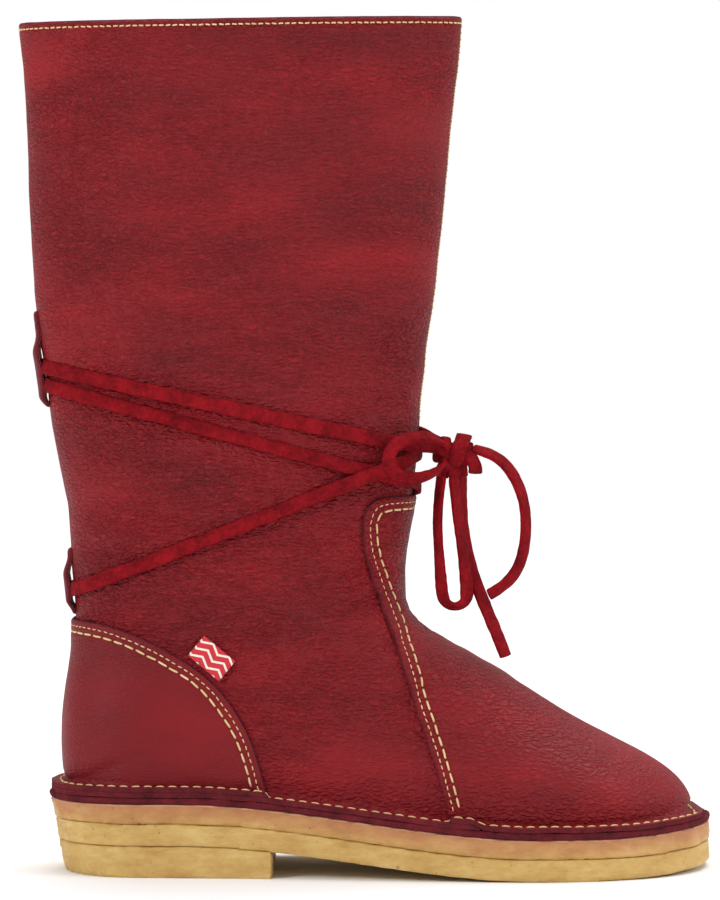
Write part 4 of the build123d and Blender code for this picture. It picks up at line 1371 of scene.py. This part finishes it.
# %% A row of stitches
def stitch_row(rows, pitch, length, radius, sink, seed=0):
    """Bodies of many stitches along (points, normals) rows. They are joined into one mesh."""
    verts, faces = [], []
    rng = random.Random(seed)
    for points, normals in rows:
        lengths = np.concatenate([[0], np.cumsum(np.linalg.norm(np.diff(points, axis=0), axis=1))])
        if lengths[-1] < pitch * 2:
            continue
        for k in range(int(lengths[-1] / pitch)):
            middle = (k + 0.5) * pitch + rng.uniform(-0.1, 0.1)
            skew = rng.uniform(-0.16, 0.16)
            stations = []
            for share in (-0.5, -0.4, -0.15, 0.15, 0.4, 0.5):
                at = min(max(middle + share * length, 0), lengths[-1])
                point = np.array([np.interp(at, lengths, points[:, i]) for i in range(3)])
                normal = np.array([np.interp(at, lengths, normals[:, i]) for i in range(3)])
                stations.append((Vector(point), Vector(normal).normalized(), share))
            ahead = (stations[-1][0] - stations[0][0]).normalized()
            start = len(verts)
            for point, normal, share in stations:
                side_way = ahead.cross(normal).normalized()
                plump = radius * (0.6 if abs(share) > 0.45 else 0.95 if abs(share) > 0.3 else 1.0)
                low = sink * (share * 2) ** 4
                base = point + side_way * skew * share * 2 - normal * low
                for j in range(6):
                    a = math.tau * j / 6
                    verts.append(base + side_way * math.cos(a) * plump * 1.1 + normal * math.sin(a) * plump)
            for i in range(5):
                for j in range(6):
                    a, b = start + i * 6 + j, start + i * 6 + (j + 1) % 6
                    faces.append((a, b, b + 6, a + 6))
            faces.append(tuple(start + j for j in range(5, -1, -1)))
            faces.append(tuple(start + 30 + j for j in range(6)))
    return verts, faces


SINK = 0.45  # how far the two ends of a stitch are drawn in
print("corners in one stitch:", 6 * 6)


# %% Sew the rows of the upper
def on_panel(lines, lift):
    """Contour lines raised to the top of a panel."""
    return [(np.array([p + n * lift for p, n in line]), np.array([n for p, n in line])) for line in lines]


def sewn(name, rows, pitch, length, radius, seed):
    """One piece with all the stitches of some rows, in mm."""
    verts, faces = stitch_row(rows, pitch, length, radius, SINK, seed)
    piece = mesh_object(name, verts, faces, [thread])
    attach(piece, "boot")
    print(name, len(faces) // 32, "stitches")
    return piece


TOP = LEATHER + LAP_GAP
BOLD = (5.2, 4.2, 0.4)  # pitch, length and radius of a stitch
FINE = (2.9, 2.1, 0.22)
for side, tag in ((-1, "lateral"), (1, "medial")):
    for panel, seed in (("vamp", 1), ("heel", 3)):
        inset = insets[panel][side]
        sewn(f"{panel}_seam_bold_{tag}", on_panel(contour(side, inset, BOLD_ROW), TOP - 0.2), *BOLD, seed)
        sewn(f"{panel}_seam_fine_{tag}", on_panel(contour(side, inset, FINE_ROW), TOP - 0.12), *FINE, seed + 1)
    edge = np.minimum(insets["shaft"][side], 50)
    edge[first_foot_row - 40:] = 50
    edge = np.where(form[side][:, :, 2] < 186, 50, edge)
    sewn(f"shaft_edge_seam_{tag}", on_panel(contour(side, edge, FINE_ROW), 0.06), 2.7, 2.0, 0.3, 5)

# %% The row that holds the upper to the sole
welt_column = COLUMNS + FOOT_ARC + 1
welt_rows = []
for side in (-1, 1):
    points, normals = [], []
    for r in range(first_foot_row, ROWS):
        p, n = form[side][r, welt_column], form_normals[side][r, welt_column]
        over = TOP if insets["heel"][side][r, welt_column] > 0 else 0.0
        if insets["vamp"][side][r, welt_column] > 0:
            over = vamp_base[side][r, welt_column] + LEATHER
        points.append(p + n * (over + 0.1))
        normals.append(n)
    welt_rows.append((np.array(points), np.array(normals)))
sewn("welt_seam", welt_rows, 5.0, 3.7, 0.4, 8)

# %% [markdown]
# ## The woven tab
# A small woven tab is folded over and caught in the heel cover's seam. It has a plain zigzag weave. It is the
# one piece that moves: it flips about the line where it is sewn in.

# %% The weave of the tab
def tab_material():
    """Woven polyester ribbon. The threads are 0.5 mm apart, drawn a little coarse so that they show."""
    m = new_material("woven_ribbon")
    place = add(m, "Attribute", attribute_name="tab_place").outputs["Vector"]
    parts = add(m, "SeparateXYZ", {0: place})
    fold = add(m, "Math", {0: parts.outputs[0], 1: 4.2}, operation="PINGPONG").outputs[0]
    slant = add(m, "Math", {0: fold, 1: 0.55, 2: parts.outputs[1]}, operation="MULTIPLY_ADD").outputs[0]
    wave = add(m, "Math", {0: slant, 1: 1.7}, operation="PINGPONG").outputs[0]
    band = add(m, "Math", {0: wave, 1: 0.5}, operation="LESS_THAN").outputs[0]
    color = add(m, "Mix", {"Factor": band, 6: linear("#c9202b"), 7: linear("#f1e6da")}, data_type="RGBA").outputs[2]
    threads = add(m, "VectorMath", {0: place, "Scale": 2.0}, operation="SCALE").outputs[0]
    weave = add(m, "TexChecker", {"Vector": threads, "Scale": 1.0}).outputs["Fac"]
    shade = add(m, "MapRange", {"Value": weave, "To Max": 0.16}).outputs[0]
    color = add(m, "Mix", {"Factor": shade, 6: color, 7: linear("#5d0e16")}, data_type="RGBA").outputs[2]
    bump = add(m, "Bump", {"Height": weave, "Strength": 0.5, "Distance": 0.12 * MM}).outputs[0]
    return finish_material(m, Base_Color=color, Roughness=0.75, Normal=bump, Sheen_Weight=0.25)


woven_ribbon = tab_material()
print("finish of the tab:", woven_ribbon.name)

# %% Fold the tab
TAB_LENGTH, TAB_DEPTH, TAB_MIDDLE = 16.5, 10.5, Vector((-66, -32.55, 85.6))
ALONG, UP_TAB, OUT_TAB = Vector((0.76828, 0, -0.64011)), Vector((0.64011, 0, 0.76828)), Vector((0, -1, 0))
LENGTHWISE = 14
HALF_FOLD = 0.34  # half the thickness of the folded ribbon
face_side = [(TAB_DEPTH * t - 0.35 * (t == 1), HALF_FOLD) for t in np.linspace(0, 1, 9)]
fold = [(TAB_DEPTH - 0.05, 0.2), (TAB_DEPTH, 0), (TAB_DEPTH - 0.05, -0.2)]
loop = face_side + fold + [(v, -w) for v, w in reversed(face_side)]
verts, faces, spots = [], [], []
for i in range(LENGTHWISE + 1):
    u = TAB_LENGTH * (i / LENGTHWISE - 0.5)
    for v, w in loop:
        curl = 0.05 * math.sin(u / 3) * v / TAB_DEPTH
        verts.append(TAB_MIDDLE + ALONG * u + UP_TAB * v + OUT_TAB * (w + curl))
        spots.append((u + 20, v, w))
ring = len(loop)
for i in range(LENGTHWISE):
    for k in range(ring):
        a, b = i * ring + k, i * ring + (k + 1) % ring
        faces.append((a, a + ring, b + ring, b))
for i in (0, LENGTHWISE):
    for k in range(len(face_side) - 1):
        a, b = i * ring + k, i * ring + ring - 1 - k
        faces.append((a, b, b - 1, a + 1) if i else (a, a + 1, b - 1, b))
print("faces in the tab:", len(faces))

# %% Sew the tab in
tab = mesh_object("woven_tab", verts, faces, [woven_ribbon])
attribute = tab.data.attributes.new("tab_place", "FLOAT_VECTOR", "POINT")
attribute.data.foreach_set("vector", np.array(spots, dtype=np.float32).ravel())
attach(tab, "label_tab")
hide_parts("label")

# %% [markdown]
# ## Light and floor
# Two large soft lamps, from the front left and from the right, model the folds. A very wide sun from above
# lights the whole floor evenly, where a lamp would leave a bright patch. Wide lights give soft shadows.

# %% Lamps
def softbox(name, place, size, power):
    lamp = bpy.data.lights.new(name, "AREA")
    lamp.shape, lamp.size, lamp.energy = "SQUARE", size, power
    made = bpy.data.objects.new(name, lamp)
    made.location = place
    aim = Vector((0, 0, 0.17)) - Vector(place)
    made.rotation_euler = aim.to_track_quat("-Z", "Y").to_euler()
    bpy.context.scene.collection.objects.link(made)


softbox("front_left", (-1.6, -1.3, 1.3), 0.7, 24)
softbox("right", (1.7, -0.6, 0.9), 0.8, 12)
sun = bpy.data.lights.new("above", "SUN")
sun.energy, sun.angle = 2.2, math.radians(50)
above = bpy.data.objects.new("above", sun)
above.rotation_euler = (math.radians(-14), math.radians(10), 0)
bpy.context.scene.collection.objects.link(above)

print("lamps:", [lamp.name for lamp in bpy.data.lights])

# %% Floor
floor_material = new_material("pale_floor")
tint = add(floor_material, "TexNoise", {"Scale": 3.0, "Detail": 1.0}).outputs["Fac"]
paint = add(floor_material, "ValToRGB", {"Fac": tint}, [(0.0, "#f4f4f4"), (1.0, "#fafafa")]).outputs["Color"]
finish_material(floor_material, Base_Color=paint, Roughness=0.8)
FLOOR_HALF = 3000
corners = [(-FLOOR_HALF, -FLOOR_HALF, 0), (FLOOR_HALF, -FLOOR_HALF, 0), (FLOOR_HALF, FLOOR_HALF, 0),
           (-FLOOR_HALF, FLOOR_HALF, 0)]
floor = mesh_object("floor", corners, [(0, 1, 2, 3)], [floor_material])
print("floor, m across:", 2 * FLOOR_HALF * MM)
# %% [markdown]
# ### The world
# The world lights the boot at half strength from all round. What the camera sees of it is pure white, so the
# backdrop stays clean and the leather keeps its depth.

# %% World
world = bpy.data.worlds.new("studio")
bpy.context.scene.world = world
world.use_nodes = True
sky = world.node_tree
fill = sky.nodes["Background"]
fill.inputs["Color"].default_value, fill.inputs["Strength"].default_value = (1, 1, 1, 1), 0.5
backdrop, choice, rays = (sky.nodes.new("ShaderNode" + kind) for kind in ("Background", "MixShader", "LightPath"))
backdrop.inputs["Color"].default_value = (1, 1, 1, 1)
sky.links.new(rays.outputs["Is Camera Ray"], choice.inputs[0])
sky.links.new(fill.outputs[0], choice.inputs[1])
sky.links.new(backdrop.outputs[0], choice.inputs[2])
sky.links.new(choice.outputs[0], sky.nodes["World Output"].inputs["Surface"])
bpy.context.scene.view_settings.view_transform = "Standard"
print("world strength:", fill.inputs["Strength"].default_value)
